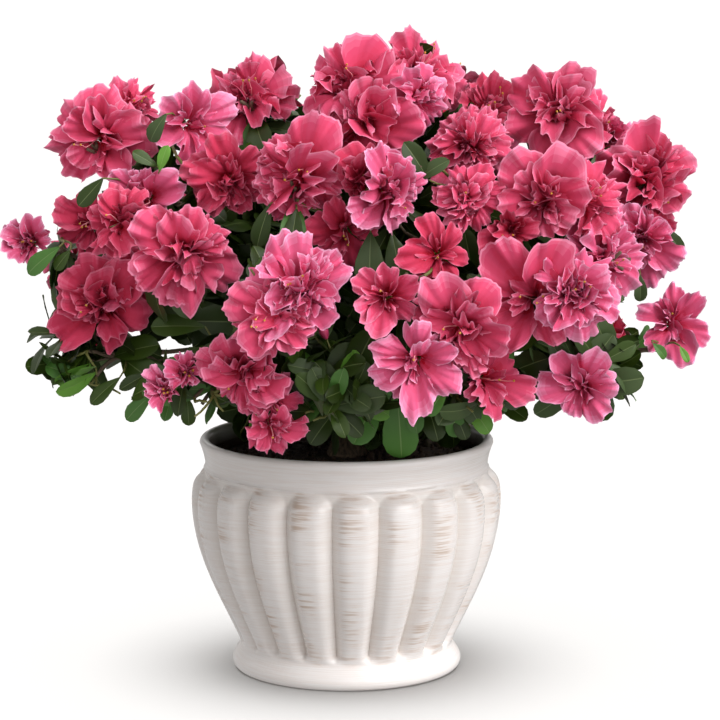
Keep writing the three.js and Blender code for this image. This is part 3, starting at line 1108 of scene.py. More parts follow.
class Crown:
    """The wood, shoots and blossoms, grown by a branching rule: limb, feeder, forks, shoots.

    wood is a list of (line, radii, young), and shoots are the lines that carry leaves.
    """

    def __init__(self, seed, typical):
        self.rng = np.random.default_rng(seed)
        masses = foliage_masses()
        self.boughs = bough_lines()
        self.stations = limb_stations(self.boughs)
        self.blooms = front_blooms(masses)
        self.blooms += rule_blooms(masses, self.blooms, typical, self.rng)
        self.wood = []
        self.shoots = []
        for mass in masses.values():
            hub, way = self.feed(mass)
            forks = self.fork(mass, hub, way)
            self.hold_blossoms(mass, forks)
            self.sprout(mass, forks)
        self.sprout_low()
        self.hold_set_leaves()
        self.sprout_at_rim()
        self.sprout_inside()

    def add(self, line, thick, thin, young, kind=None, mass_name=None):
        """Keeps a woody line that tapers from thick to thin and, with a kind, its leaves' shoot."""
        self.wood.append((line, np.linspace(thick, thin, len(line)), young))
        if kind:
            self.shoots.append(Shoot(line, kind, mass_name))

    def wander(self, line, amount):
        """Moves a line's inner points a little to and fro."""
        line[1:-1] += self.rng.normal(0, amount, (len(line) - 2, 3))

    def nearest_limb(self, tip):
        """The place and direction at which wood for this tip leaves a bough."""
        gaps = [np.linalg.norm(tip - place) for place, _, _ in self.stations]
        place, _, way = self.stations[int(np.argmin(gaps))]
        return place, way

    def feed(self, mass):
        """Brings wood to a hub in the mass, from its own bough or a limb that passes near."""
        hub = mass.centre - 0.3 * mass.half * mass.out - [0, 0, 0.12 * mass.half[2]]
        if mass.name in self.boughs:
            line, radii = self.boughs[mass.name]
            way = unit(line[-1] - line[-2])
            start, radius = line[-1] - way * 3, radii[-1]
        else:
            costs = [
                np.linalg.norm(hub - place) + 0.6 * max(0, place[2] - hub[2])
                for place, _, _ in self.stations
            ]
            start, radius, way = self.stations[int(np.argmin(costs))]
            radius = 0.8 * radius
        arrive = unit(0.8 * mass.out + unit(hub - start))
        line = bend(start, way, hub, arrive, 7)
        self.wander(line, 0.8)
        self.add(line, min(radius, 2.4), 1.5, False, "inner", mass.name)
        return hub, arrive

    def fork(self, mass, hub, hub_way):
        """Splits the wood at the hub, and returns the place and direction of each fork's end."""
        forks = []
        turn = self.rng.uniform(0, 2 * math.pi)
        for number in range(FORKS_PER_MASS):
            lean = 1.25 * math.sqrt((number + 0.4) / FORKS_PER_MASS)
            ring = beside(mass.out, turn + number * GOLDEN_ANGLE)
            way = unit(mass.out * math.cos(lean) + ring * math.sin(lean))
            place = toward_skin(mass, way, self.rng.uniform(0.4, 0.6))
            line = bend(hub, hub_way, place, way, 5)
            self.wander(line, 0.6)
            self.add(line, 1.4, 1.05, False, "inner", mass.name)
            forks.append((place, way))
        return forks

    def hold_blossoms(self, mass, forks):
        """Brings a stalk from the nearest fork to each of the mass's blossoms."""
        for bloom in self.blooms:
            if bloom.mass != mass.name:
                continue
            base = behind(bloom, BLOSSOM_FOOT)
            gaps = [np.linalg.norm(base - place) for place, _ in forks]
            place, way = forks[int(np.argmin(gaps))]
            arrive = unit(bloom.axis + 0.6 * unit(base - place))
            self.add(bend(place, way, base, arrive, 6), 1.0, 0.8, True, "blossom", mass.name)

    def sprout(self, mass, forks):
        """Grows leafy shoots on from the forks, where no blossom is in the way."""
        thin = THINNED.get(mass.name, 0.3 * low_share(mass))
        for fork, fork_way in forks:
            turn = self.rng.uniform(0, 2 * math.pi)
            for number in range(SHOOTS_PER_FORK):
                ring = beside(fork_way, turn + number * 2 * math.pi / SHOOTS_PER_FORK)
                way = unit(fork_way + ring * self.rng.uniform(0.35, 0.9))
                tip = toward_skin(mass, way, self.rng.uniform(0.75, 1.1))
                if covered(np.array([tip, (tip + fork) / 2]), self.blooms).any():
                    continue
                line = bend(fork, fork_way, tip, unit(way + [0, 0, 0.15]), 5)
                self.wander(line, 0.5)
                if tip[2] < CROWN_FLOOR or self.rng.random() < thin:
                    continue
                if np.linalg.norm(tip - fork) >= SHORTEST_SHOOT:
                    self.add(line, 0.95, 0.6, True, "leafy", mass.name)

    def sprout_low(self):
        """Grows short shoots round the foot of the boughs."""
        for number in range(LOW_SHOOTS):
            angle = number * GOLDEN_ANGLE
            reach = self.rng.uniform(22, 66) - 12 * math.cos(angle)
            height = self.rng.uniform(160, 186)
            tip = np.array([reach * math.sin(angle), -reach * math.cos(angle), height])
            start, way = self.nearest_limb(tip)
            line = bend(start, way, tip, unit(tip - start - [0, 0, 12]), 6)
            self.add(line, 1.1, 0.6, True, "low", "lower")

    def hold_set_leaves(self):
        """Brings a stalk from the nearest wood to each leaf with a set place."""
        wood_points = np.concatenate([line[1:] for line, _, _ in self.wood])
        for foot, tip, _ in set_leaves():
            before = foot - (tip - foot) * 0.5 + [0, 12, -6]
            start = wood_points[np.argmin(np.linalg.norm(wood_points - before, axis=1))]
            way = unit(foot - start)
            line = bend(start, way, foot, unit(way + 0.5 * unit(tip - foot)), 5)
            self.add(line, 0.9, 0.5, True)

    def sprout_at_rim(self):
        """Grows short shoots that hang inside the rim, at the sides and back."""
        for number in range(RIM_SHOOTS):
            bearing = 62 + 236 * (number + self.rng.uniform(-0.3, 0.3)) / (RIM_SHOOTS - 1)
            tip = facing(bearing, 0) * self.rng.uniform(56, 68)
            tip = tip + [0, 0, self.rng.uniform(143, 156)]
            start, way = self.nearest_limb(tip)
            line = bend(start, way, tip, unit(facing(bearing, -35)), 6)
            self.add(line, 1.1, 0.6, True, "rim", "lower")

    def sprout_inside(self):
        """Grows leafy shoots into the rooms inside the crown, so that it can't be seen through."""
        for middle, half, shoots in ROOMS:
            for _ in range(shoots):
                way = unit(self.rng.normal(0, 1, 3))
                tip = np.array(middle) + np.array(half) * way * self.rng.uniform(0.15, 1) ** 0.5
                start, start_way = self.nearest_limb(tip)
                line = bend(start, start_way, tip, unit(tip - start), 5)
                self.wander(line, 0.8)
                self.add(line, 1.1, 0.7, False, "core", "core")


@lru_cache(maxsize=2)
def grow_crown(seed, typical):
    """Grows the crown once for these settings, for all the pieces that read it."""
    return Crown(seed, typical)


def crown_of(context):
    """The crown that the present settings grow."""
    settings = context.scene.azalea_shrub
    return grow_crown(settings.seed, settings.blossom_diameter / MM)


# ---- Stem, boughs and twigs

BARK_SKIN = 0.35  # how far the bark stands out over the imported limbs
BARK_GRAIN = 1.15  # size of the cells that the limbs are joined with
BARK_RELIEF = 0.35


def bark_material(settings):
    """Old azalea bark, thin and flaking. The eye gets grey-brown plates with darker cracks."""
    material, tree = new_material("thin_flaking_bark")
    place = add_node(tree, "TexCoord")
    # Plates of about 2 mm, three times as long up the limb.
    stretched = add_node(tree, "Mapping", Vector=(place, "Object"), Scale=(1.0, 1.0, 0.35))
    plates = add_node(
        tree, "TexNoise", Vector=(stretched, "Vector"), Scale=520.0, Detail=5.0, Roughness=0.65
    )
    bark = tuple(settings.bark)
    greys = [(0.34, shaded(bark, 0.35)), (0.5, bark), (0.68, shaded(bark, 1.7))]
    colour = add_node(tree, "ValToRGB", stops=greys, Fac=(plates, "Fac"))
    bump = add_node(tree, "Bump", Strength=0.7, Distance=0.0008, Height=(plates, "Fac"))
    shader = add_node(
        tree,
        "BsdfPrincipled",
        Base_Color=(colour, "Color"),
        Roughness=0.85,
        Normal=(bump, "Normal"),
    )
    add_node(tree, "OutputMaterial", Surface=(shader, "BSDF"))
    return material


class AZALEA_OT_bark(bpy.types.Operator):
    """Grows bark over the stem and boughs, joined where they fork"""

    bl_idname = "azalea.bark"
    bl_label = "Stem and boughs"

    def execute(self, context):
        names = [n for n in sorted(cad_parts) if n == "stem" or n.startswith("bough_")]
        deselect_all()
        for name in names:
            copy = bpy.data.objects.new("limb_" + name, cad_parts[name].data.copy())
            context.scene.collection.objects.link(copy)
            copy.select_set(True)
            context.view_layer.objects.active = copy
        bpy.ops.object.join()
        bark = context.object
        bark.name = "bark"
        bpy.ops.object.mode_set(mode="EDIT")
        bpy.ops.mesh.select_all(action="SELECT")
        bpy.ops.mesh.remove_doubles(threshold=0.00002)
        bpy.ops.mesh.normals_make_consistent(inside=False)
        bpy.ops.transform.shrink_fatten(value=BARK_SKIN * MM)
        bpy.ops.object.mode_set(mode="OBJECT")
        remesh = bark.modifiers.new("Join", "REMESH")
        remesh.mode = "VOXEL"
        remesh.voxel_size = BARK_GRAIN * MM
        bpy.ops.object.modifier_apply(modifier=remesh.name)
        soften = bark.modifiers.new("Soften", "SMOOTH")
        soften.factor = 0.5
        soften.iterations = 4
        bpy.ops.object.modifier_apply(modifier=soften.name)
        points = mesh_points(bark)
        normals = np.array([v.normal for v in bark.data.vertices])
        # Ridges some 3 mm wide and 8 mm long.
        relief = [
            noise.fractal(Vector((p[0] / 2.6, p[1] / 2.6, p[2] / 8)), 0.7, 2.0, 3)
            for p in points
        ]
        move_points(bark, points + normals * BARK_RELIEF * np.array(relief)[:, None])
        bpy.ops.object.shade_smooth()
        bark.data.materials.clear()
        bark.data.materials.append(bark_material(context.scene.azalea_shrub))
        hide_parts(*names)
        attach(bark, "root")
        return {"FINISHED"}


class AZALEA_OT_twigs(bpy.types.Operator):
    """Grows the twigs and shoots on from the boughs"""

    bl_idname = "azalea.twigs"
    bl_label = "Twigs"

    def execute(self, context):
        settings = context.scene.azalea_shrub
        gathered = Faces()
        for line, radii, young in crown_of(context).wood:
            # A last narrow ring closes the end.
            end = line[-1] + (line[-1] - line[-2]) * 0.04
            radii = np.append(radii, 0.08)
            gathered.add_tube(np.vstack([line, end]), radii, 5 if young else 6, int(young))
        materials = [
            plain_surface("twig_bark", shaded(tuple(settings.bark), 0.8), 0.8),
            plain_surface("green_shoot_bark", linear("#6A6B35"), 0.6),
        ]
        twigs = gathered.to_object("twigs", materials)
        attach(twigs, "root")
        return {"FINISHED"}


# ---- Leaves

LEAF_COLUMNS = np.array([-1, -0.55, -0.04, 0.04, 0.55, 1])
LEAF_ROWS = np.array([0, 0.1, 0.3, 0.52, 0.72, 0.87, 0.96, 1.0])
LEAF_WIDTHS = np.array([0.07, 0.28, 0.68, 0.95, 1.0, 0.8, 0.47, 0.08])
LEAF_TONES = 5  # dark, grey-green, mid, bright and fresh
DARK = 0
FRESH = 4
# The masses that each piece of leaves stands for. The petals stand for the others.
LEAFY_MASSES = {
    "leaves_front": ["lower_front"],
    "leaves_middle": ["lower_left_back"],
    "leaves_back": ["lower_back_left", "lower_back_right"],
}


def leaf_grids(bases, along, normals, lengths, widths, folds, curls, waves):
    """Vertices of many leaves, each (rows, columns, 3), from arrays with a row for each leaf."""
    side = unit(np.cross(along, normals))
    normals = np.cross(side, along)
    row = LEAF_ROWS[None, :, None]
    column = LEAF_COLUMNS[None, None, :]
    half = spread(widths / 2) * LEAF_WIDTHS[None, :, None]
    # The blade curls down along a round arc.
    turned = spread(curls) * row
    curl = np.where(np.abs(spread(curls)) < 1e-3, 1e-3, spread(curls))
    ahead = spread(lengths) * np.sin(turned) / curl
    drop = spread(lengths) * (1 - np.cos(turned)) / curl
    # Its halves fold up from the midrib, which lies in a groove, and roll down at the edges.
    across = half * column * spread(np.cos(folds))
    lift = half * np.abs(column) * spread(np.sin(folds))
    edge = np.abs(column) ** 2 * half * 0.22
    ripple = spread(waves) * np.sin(9 * row + 2 * column) * np.abs(column)
    height = lift - edge + ripple - drop
    height = height - 0.35 * (np.abs(column) < 0.1)
    return (
        spread(bases)
        + spread(along) * ahead[..., None]
        + spread(side) * across[..., None]
        + spread(normals) * height[..., None]
    )


# By kind of shoot: fewest leaves, one more than the most, and how much of it carries them.
SHOOT_LEAVES = {
    "leafy": (6, 10, 0.5),
    "blossom": (4, 7, 0.3),
    "inner": (6, 10, 0.9),
    "low": (7, 11, 0.7),
    "rim": (6, 9, 0.35),
    "core": (8, 12, 0.7),
}
# By kind of shoot: how far the leaves of the low masses hang. All others hang slightly.
LEAF_DROOP = {"leafy": -0.22, "blossom": -0.22, "inner": -0.3, "low": -0.6, "rim": -0.35}
SLIGHT_DROOP = -0.05


def leaves_on(shoot, typical, rng):
    """(base, along, normal, length, tone) of the leaves on a shoot, in a spiral to its tip."""
    line = shoot.line
    tip_way = unit(line[-1] - line[-2])
    low = "lower" in shoot.mass or "tip" in shoot.mass
    droop = LEAF_DROOP.get(shoot.kind, SLIGHT_DROOP) if low else SLIGHT_DROOP
    fewest, most, spread = SHOOT_LEAVES[shoot.kind]
    count = int(rng.integers(fewest, most))
    turn = rng.uniform(0, 2 * math.pi)
    fresh = low and rng.random() < 0.1 and line[-1][2] < 190
    if THINNED.get(shoot.mass, 0) > 0.9:
        count = 2
        fresh = False
    found = []
    for number in range(count):
        share = number / max(count - 1, 1)
        place = 1 - spread * (1 - share) ** 1.2
        base = place_on(line, place * (len(line) - 1))
        ring = beside(tip_way, turn + number * GOLDEN_ANGLE)
        if shoot.kind == "leafy":
            lean = math.radians(78 - 42 * share + rng.uniform(-12, 12))
        else:
            lean = math.radians(rng.uniform(58, 98))
        along = tip_way * math.cos(lean) + ring * math.sin(lean)
        along = unit(along + [0, 0, droop])
        normal = unit(tip_way * math.sin(lean) - ring * math.cos(lean) + [0, 0, 0.35])
        size = 1 - 0.25 * share if shoot.kind == "leafy" else 1.0
        length = typical * size * rng.uniform(0.7, 1.24)
        # Painted shade: the leaves inside the crown and inside the rim all take the dark tone, a
        # darkened copy of the leaf colour.
        if shoot.kind in ("core", "rim"):
            tone = DARK
        elif fresh:
            tone = FRESH
        else:
            tone = int(rng.choice(4, p=[0.42, 0.2, 0.28, 0.1]))
        found.append((base, along, normal, length, tone))
    return found


def gather_leaves(shoots, blooms, typical, rng):
    """All leaves as arrays, without those that would stand among petals or hang too low."""
    rows = []
    for shoot in shoots:
        rows += leaves_on(shoot, typical, rng)
    to_front = np.array([0, -1.0, 0.6])
    for foot, tip, tone in set_leaves():
        along = unit(tip - foot)
        normal = unit(to_front - along * (along @ to_front))
        rows.append((foot, along, normal, np.linalg.norm(tip - foot), tone))
    base, along, normal, length, tone = (np.array(list(part)) for part in zip(*rows))
    count = len(base)
    placed = np.arange(count) >= count - len(SET_LEAVES)
    middle = base + along * length[:, None] * 0.5
    tip = base + along * length[:, None]
    hidden = covered(middle, blooms) | covered(tip, blooms)
    hidden |= in_sky(base, 4) | in_sky(middle, 7) | in_sky(tip, 3)
    hidden |= above_blossoms(tip, blooms) | above_blossoms(middle, blooms)
    from_axis = np.hypot(tip[:, 0], tip[:, 1])
    at_back = smooth_step(-30, 60, tip[:, 1])
    floor = CROWN_FLOOR + (CROWN_FLOOR_BACK - CROWN_FLOOR) * at_back
    floor = floor + rng.uniform(-7, 7, count)
    # Over the mix they may hang down to it, and at the front nearly so.
    floor = np.where(from_axis < POT_MOUTH, 131 + 6 * (tip[:, 1] < -30), floor)
    hidden |= np.minimum(tip[:, 2], middle[:, 2]) < floor
    outside = ~within_crown(tip) | ~within_crown(middle)
    hidden |= outside & (from_axis > POT_MOUTH)
    kept = placed | ~hidden
    return base[kept], along[kept], normal[kept], length[kept], tone[kept]


def leaf_materials(settings):
    """Leathery evergreen leaves, waxy on top. The eye gets deep green with a soft grey sheen,
    a paler midrib, and fresh bright green on young shoots."""
    leaf = np.array(settings.leaf)
    tones = [
        # The dark tone is partly the leaves' own and partly painted shade, as all the leaves inside
        # the crown take it.
        ("leathery_leaf_dark", 0.62 * leaf, 0.42),
        ("leathery_leaf_grey", 0.5 * leaf + 0.5 * np.array(linear("#46543A")), 0.45),
        ("leathery_leaf_green", leaf, 0.42),
        ("leathery_leaf_bright", np.array(linear("#436B2C")), 0.42),
        ("young_leaf_fresh", np.array(linear("#5C8A32")), 0.45),
    ]
    blades, ribs = [], []
    for name, blade, roughness in tones:
        blades.append(plain_surface(name, tuple(blade), roughness, Specular_IOR_Level=0.28))
        rib = 0.75 * blade + 0.25 * np.array(linear("#8FA060"))
        ribs.append(plain_surface(name + "_midrib", tuple(rib), roughness + 0.1))
    return blades + ribs


class AZALEA_OT_leaves(bpy.types.Operator):
    """Grows the leaves in whorls on the shoots"""

    bl_idname = "azalea.leaves"
    bl_label = "Leaves"

    def execute(self, context):
        settings = context.scene.azalea_shrub
        crown = crown_of(context)
        rng = np.random.default_rng(settings.seed + 1)
        typical = settings.leaf_length / MM
        arrays = gather_leaves(crown.shoots, crown.blooms, typical, rng)
        base, along, normal, length, tone = arrays
        count = len(base)
        points = leaf_grids(
            base,
            along,
            normal,
            length,
            length * rng.uniform(0.42, 0.54, count),
            np.radians(rng.uniform(6, 26, count)),
            np.radians(rng.uniform(5, 62, count)),
            rng.uniform(0.1, 0.7, count),
        )
        # The middle strip of each leaf is its midrib.
        strips = np.array([0, 0, LEAF_TONES, 0, 0])
        size = (count, len(LEAF_ROWS) - 1, len(strips))
        slots = np.broadcast_to(spread(tone) + strips[None, None, :], size)
        materials = leaf_materials(settings)
        front = base[:, 1] < -40
        back = base[:, 1] > 40
        for (name, nodes), chosen in zip(LEAFY_MASSES.items(), (front, ~front & ~back, back)):
            gathered = Faces()
            gathered.add_grids(points[chosen], slots[chosen])
            leaves = gathered.to_object(name, materials)
            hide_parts(*["foliage_" + node for node in nodes])
            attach(leaves, "root")
        return {"FINISHED"}


# ---- Blossoms

# Whorls of petals, from outside in, by form: [petals, length over the diameter, half fan angle,
# opening at the foot and at the tip in degrees from the blossom's axis, disorder in degrees].
FORMS = {
    "double": [
        (6, 0.57, 41, 34, 100, 8),
        (5, 0.52, 40, 24, 76, 13),
        (5, 0.44, 37, 12, 50, 18),
        (5, 0.35, 33, 2, 26, 24),
    ],
    "frilled": [
        (6, 0.56, 41, 38, 108, 9),
        (6, 0.53, 39, 28, 84, 13),
        (6, 0.47, 36, 16, 60, 18),
        (6, 0.41, 33, 6, 40, 22),
        (5, 0.34, 30, 0, 20, 26),
    ],
    "rose": [
        (6, 0.58, 42, 28, 94, 7),
        (6, 0.50, 41, 18, 66, 10),
        (5, 0.42, 41, 8, 38, 13),
        (4, 0.34, 41, 0, 14, 16),
    ],
    "star": [
        (6, 0.62, 36, 24, 92, 8),
        (4, 0.46, 32, 12, 56, 16),
        (3, 0.34, 28, 2, 24, 20),
    ],
    "funnel": [
        (6, 0.62, 40, 18, 80, 8),
        (4, 0.42, 32, 8, 44, 16),
    ],
    "cup": [
        (5, 0.66, 38, 14, 46, 8),
        (5, 0.56, 34, 8, 28, 10),
        (4, 0.46, 30, 2, 12, 12),
    ],
}

# How much the margins of each form are frilled.
FRILLS = {"double": 1.12, "frilled": 1.35, "rose": 0.9, "star": 0.85, "funnel": 0.8, "cup": 0.6}
# How pointed the petals of each form are.
POINTS = {"double": 0.0, "frilled": 0.0, "rose": 0.0, "star": 0.55, "funnel": 0.3, "cup": 0.2}
LONG_PETAL = 21  # petals over this length have more columns
THREAD, ANTHER, GREEN, PINK = range(4)  # the materials of the stamens, stalks and buds
BUD_SHARE = 0.16  # share of the leafy shoots that may end in a bud
PINK_BUD_SHARE = 0.35
TONES = 12  # from the throat, through the blade, to the pale margin
PETAL_ROWS = np.array([0.1, 0.22, 0.35, 0.48, 0.6, 0.72, 0.83, 0.92, 0.97, 1.0])
ROW_TONES = np.array([0, 1.4, 3, 4.4, 5.6, 6.7, 7.7, 8.7, 11])
Petals = namedtuple(
    "Petals", "base x y z turn length fan open_foot open_tip frill twist fold point tint"
)
# The pieces of petals: [name, columns of a long and a short petal, and where the centres of their
# masses lie, from left to right and from front to back].
PETAL_GROUPS = (
    ("petals_front_left", 29, 17, (-math.inf, 10), (-math.inf, -60)),
    ("petals_front_right", 29, 17, (10, math.inf), (-math.inf, -60)),
    ("petals_sides", 25, 15, (-math.inf, math.inf), (-60, 45)),
    ("petals_back", 21, 13, (-math.inf, math.inf), (45, math.inf)),
)


def list_petals(blooms, rng):
    """One row for each petal, sorted into long and short ones."""
    long, short = [], []
    for bloom in blooms:
        base = behind(bloom, 0.34)
        start = rng.uniform(0, 2 * math.pi)
        longer_at, wider_at = rng.uniform(0, 2 * math.pi, 2)
        lean = rng.normal(0, 0.16, 3)
        whorls = FORMS[bloom.form]
        for whorl, (count, share, fan, foot, tip, disorder) in enumerate(whorls):
            axis = unit(bloom.axis + lean * whorl**0.7 + rng.normal(0, 0.07 * whorl, 3))
            side, other = frame_round(axis)
            for number in range(count):
                turn = start + whorl * 0.9 + number * 2 * math.pi / count
                stray = math.radians(disorder)
                length = bloom.diameter * share * rng.uniform(0.82, 1.14)
                length *= 1 + 0.1 * math.cos(turn - longer_at)
                tip_here = math.radians(tip + 15 * math.cos(turn - wider_at))
                row = Petals(
                    base + rng.normal(0, 0.018 * whorl * bloom.diameter, 3),
                    side,
                    other,
                    axis,
                    turn + rng.normal(0, stray),
                    length,
                    math.radians(fan * rng.uniform(0.85, 1.14)),
                    math.radians(foot) + rng.normal(0, 0.3 * stray),
                    tip_here + rng.normal(0, 1.2 * stray),
                    FRILLS[bloom.form] * (0.6 + 0.035 * length * rng.uniform(0.7, 1.4)),
                    rng.normal(0.05, 0.9 * stray),
                    rng.uniform(-0.02, 0.16) + 0.05 * whorl * rng.uniform(0, 1),
                    POINTS[bloom.form],
                    bloom.tint,
                )
                (long if length > LONG_PETAL else short).append(row)
    return long, short


def petal_grids(petals, columns, rng):
    """Vertices of many petals. Each is a fan that opens from the tube, folded along its middle,
    crumpled over its blade, and frilled in small crimps at its margin."""
    part = Petals(*[np.array(list(values), float) for values in zip(*petals)])
    count = len(petals)
    column = np.linspace(-1, 1, columns)[None, None, :]
    row = PETAL_ROWS[None, :, None]

    def wave(slow, quick):
        """A wave across each petal, at its own pace and from its own start."""
        pace = rng.uniform(slow, quick, (count, 1, 1))
        return np.sin(column * pace * math.pi + rng.uniform(0, 2 * math.pi, (count, 1, 1)))

    length = spread(part.length)
    frill = spread(part.frill)
    # The outline: round or pointed at the tip, with a notch, lobes and teeth at its margin.
    at_margin = smooth_step(0.7, 1.0, row)
    pleat = np.where(np.arange(columns) % 2 == 0, 1.0, -1.0)[None, None, :]
    teeth = 0.2 * pleat * frill / 1.4 + 0.2 * rng.normal(0, 1, (count, 1, columns))
    lobes = 0.03 * wave(1.6, 2.6) + 0.016 * wave(3.4, 4.8) + 0.008 * wave(5.6, 7)
    lobes = lobes - 0.08 * rng.uniform(0, 1, (count, 1, 1)) * np.exp(-((column / 0.14) ** 2))
    point = spread(part.point)
    fall = (0.26 + 0.12 * point) * np.abs(column) ** (2.6 - 1.2 * point)
    outline = 1 - fall + (lobes + teeth / length) * at_margin
    path = row * length * outline
    lateral = path * np.sin(column * spread(part.fan))
    central = path * np.cos(column * spread(part.fan))
    # The arc that the petal follows, from its foot in the tube to its tip.
    opening = spread(part.open_tip - part.open_foot)
    opening = np.where(np.abs(opening) < 0.05, 0.05, opening)
    angle = spread(part.open_foot) + opening * central / length
    ratio = length / opening
    radial = ratio * (np.cos(spread(part.open_foot)) - np.cos(angle)) + 1.2
    axial = ratio * (np.sin(angle) - np.sin(spread(part.open_foot)))
    # The waves, crumples, folds and curls that lift it off that arc.
    slow = 1.25 * wave(0.8, 1.4) + 0.85 * wave(1.6, 2.4)
    quick = 1.05 * wave(3.0, 4.2) + 0.85 * wave(4.8, 6.4)
    bias = rng.uniform(0, 2 * math.pi, (count, 1, 1))
    crumple = np.sin(5 * column + 6 * row + bias) + np.sin(8 * column - 7 * row + 2 * bias)
    turned_up = rng.uniform(-0.5, 0.35, (count, 1, 1)).clip(0)
    turned_up = turned_up * rng.choice([-1, 1], (count, 1, 1))
    lift = (
        frill * slow * smooth_step(0.25, 1.0, row) ** 1.2
        + frill * quick * smooth_step(0.45, 1.05, row) ** 1.5
        + 0.5 * crumple * smooth_step(0.2, 0.6, row)
        + 0.24 * pleat * smooth_step(0.1, 0.5, row)
        + spread(part.twist) * lateral
        + length * spread(part.fold) * column**2 * row
        + length * np.abs(turned_up) * smooth_step(0.1, 1, column * np.sign(turned_up)) * row**2
        - length * rng.uniform(-0.05, 0.2, (count, 1, 1)) * row**4
    )
    reach = radial - lift * np.cos(angle)
    height = axial + lift * np.sin(angle)
    turn = spread(part.turn) + lateral / (np.abs(radial) + 5.0)
    return (
        spread(part.base)
        + spread(part.z) * height[..., None]
        + spread(part.x) * (np.cos(turn) * reach)[..., None]
        + spread(part.y) * (np.sin(turn) * reach)[..., None]
    )


def petal_slots(petals, columns, rng):
    """The tone of each face: deep in the throat, pale at the margin, streaked along the veins."""
    count = len(petals)
    place = np.linspace(0, 1, columns - 1)[None, None, :]
    swell = np.sin(place * rng.uniform(9, 20, (count, 1, 1)) + rng.uniform(0, 6, (count, 1, 1)))
    streaks = 0.5 * swell + rng.normal(0, 0.3, (count, 1, columns - 1))
    own = rng.normal(0, 0.45, (count, 1, 1))
    tone = np.clip(np.round(ROW_TONES[None, :, None] + streaks + own), 0, TONES - 2)
    tone[:, -1] = TONES - 1
    tint = np.array([petal.tint for petal in petals])
    return (spread(tint) * TONES + tone).astype(int)


def petal_materials(settings):
    """Thin matt petals. The eye gets warm pink blades, red throats and pale frilled margins."""
    petal = np.array(settings.petal)
    throat = np.array(linear("#C4122C"))
    pale = np.array(linear("#F4AECE"))
    blades = []
    for share in (1, 0.74, 0.56, 0.42, 0.3, 0.2, 0.12, 0.05):
        blades.append(share * throat + (1 - share) * petal)
    for share in (0.1, 0.22, 0.34, 0.5):
        blades.append(share * pale + (1 - share) * petal)
    # The deep tint is partly painted shade and the light tint partly painted light, on the blossoms
    # of the front.
    tints = [
        ("deep", np.array([0.84, 0.58, 0.6])),
        ("rose", np.array([1.0, 0.97, 0.95])),
        ("light", np.array([1.06, 1.46, 1.38])),
    ]
    made = []
    for tint_name, tint in tints:
        for number, blade in enumerate(blades):
            colour = tuple(np.clip(blade * tint, 0, 1))
            label = f"petal_{tint_name}_{number}_from_throat"
            made.append(plain_surface(label, colour, 0.7, Specular_IOR_Level=0.12))
    return made


def add_stamens(gathered, bloom, rng):
    """Thin curved stamens with small anthers, out of the throat."""
    base = behind(bloom, 0.3)
    for _ in range(int(rng.integers(0, 5))):
        ring = beside(bloom.axis, rng.uniform(0, 2 * math.pi))
        way = unit(bloom.axis + ring * rng.uniform(0.05, 0.35))
        tip = base + way * bloom.diameter * rng.uniform(0.34, 0.48)
        line = bend(base, bloom.axis, tip, unit(bloom.axis - 0.5 * ring), 5)
        gathered.add_tube(line, [0.4, 0.36, 0.32, 0.28, 0.25], 4, THREAD)
        ahead = unit(line[-1] - line[-2])
        anther = np.array([tip - ahead * 0.5, tip + ahead * 0.5, tip + ahead * 1.5])
        gathered.add_tube(anther, [0.25, 0.75, 0.15], 5, ANTHER)


def add_calyx(gathered, bloom):
    """The green cup and stalk that hold a blossom."""
    foot = behind(bloom, BLOSSOM_FOOT)
    line = np.linspace(foot - bloom.axis * 2, behind(bloom, 0.33), 5)
    gathered.add_tube(line, [0.8, 1.2, 2.2, 2.7, 2.3], 8, GREEN)


def add_bud(gathered, tip, way, size, slot):
    """A plump pointed bud at a shoot's tip."""
    line = tip + way * np.linspace(0, 1, 6)[:, None] * size
    shape = np.array([0.3, 0.8, 1.0, 0.85, 0.5, 0.06]) * size * 0.27
    gathered.add_tube(line, shape, 7, slot)


class AZALEA_OT_blossoms(bpy.types.Operator):
    """Makes the double blossoms, their stamens and cups, and the buds"""

    bl_idname = "azalea.blossoms"
    bl_label = "Blossoms"

    def execute(self, context):
        settings = context.scene.azalea_shrub
        crown = crown_of(context)
        rng = np.random.default_rng(settings.seed + 2)
        materials = petal_materials(settings)
        leafy = sum(LEAFY_MASSES.values(), [])
        for name, wide, narrow, (left, right), (front, back) in PETAL_GROUPS:
            members = [
                mass.name
                for mass in foliage_masses().values()
                if left <= mass.centre[0] < right and front <= mass.centre[1] < back
            ]
            chosen = [bloom for bloom in crown.blooms if bloom.mass in members]
            long, short = list_petals(chosen, rng)
            gathered = Faces()
            for group, columns in ((long, wide), (short, narrow)):
                slots = petal_slots(group, columns, rng)
                gathered.add_grids(petal_grids(group, columns, rng), slots)
            petals = gathered.to_object(name, materials)
            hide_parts(*["foliage_" + n for n in members if n not in leafy])
            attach(petals, "root")
        small = Faces()
        for bloom in crown.blooms:
            add_stamens(small, bloom, rng)
            add_calyx(small, bloom)
        for shoot in crown.shoots:
            way = unit(shoot.line[-1] - shoot.line[-2])
            if shoot.kind != "leafy" or rng.random() > BUD_SHARE or way[2] < 0.1:
                continue
            # A flower bud is long and pink, and a leaf bud small and green.
            pink = rng.random() < PINK_BUD_SHARE
            size, slot = (11, PINK) if pink else (6, GREEN)
            add_bud(small, shoot.line[-1], way, size, slot)
        materials = [
            plain_surface("stamen_thread", linear("#F0A0A8"), 0.5),
            plain_surface("anther", linear("#C9953C"), 0.7),
            plain_surface("green_calyx", linear("#6F8A35"), 0.5),
            plain_surface("pink_bud", linear("#D84474"), 0.5),
        ]
        parts = small.to_object("stamens_and_buds", materials)
        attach(parts, "root")
        return {"FINISHED"}


# ---- Stage

FLOOR_LIGHT_SPREAD = 58
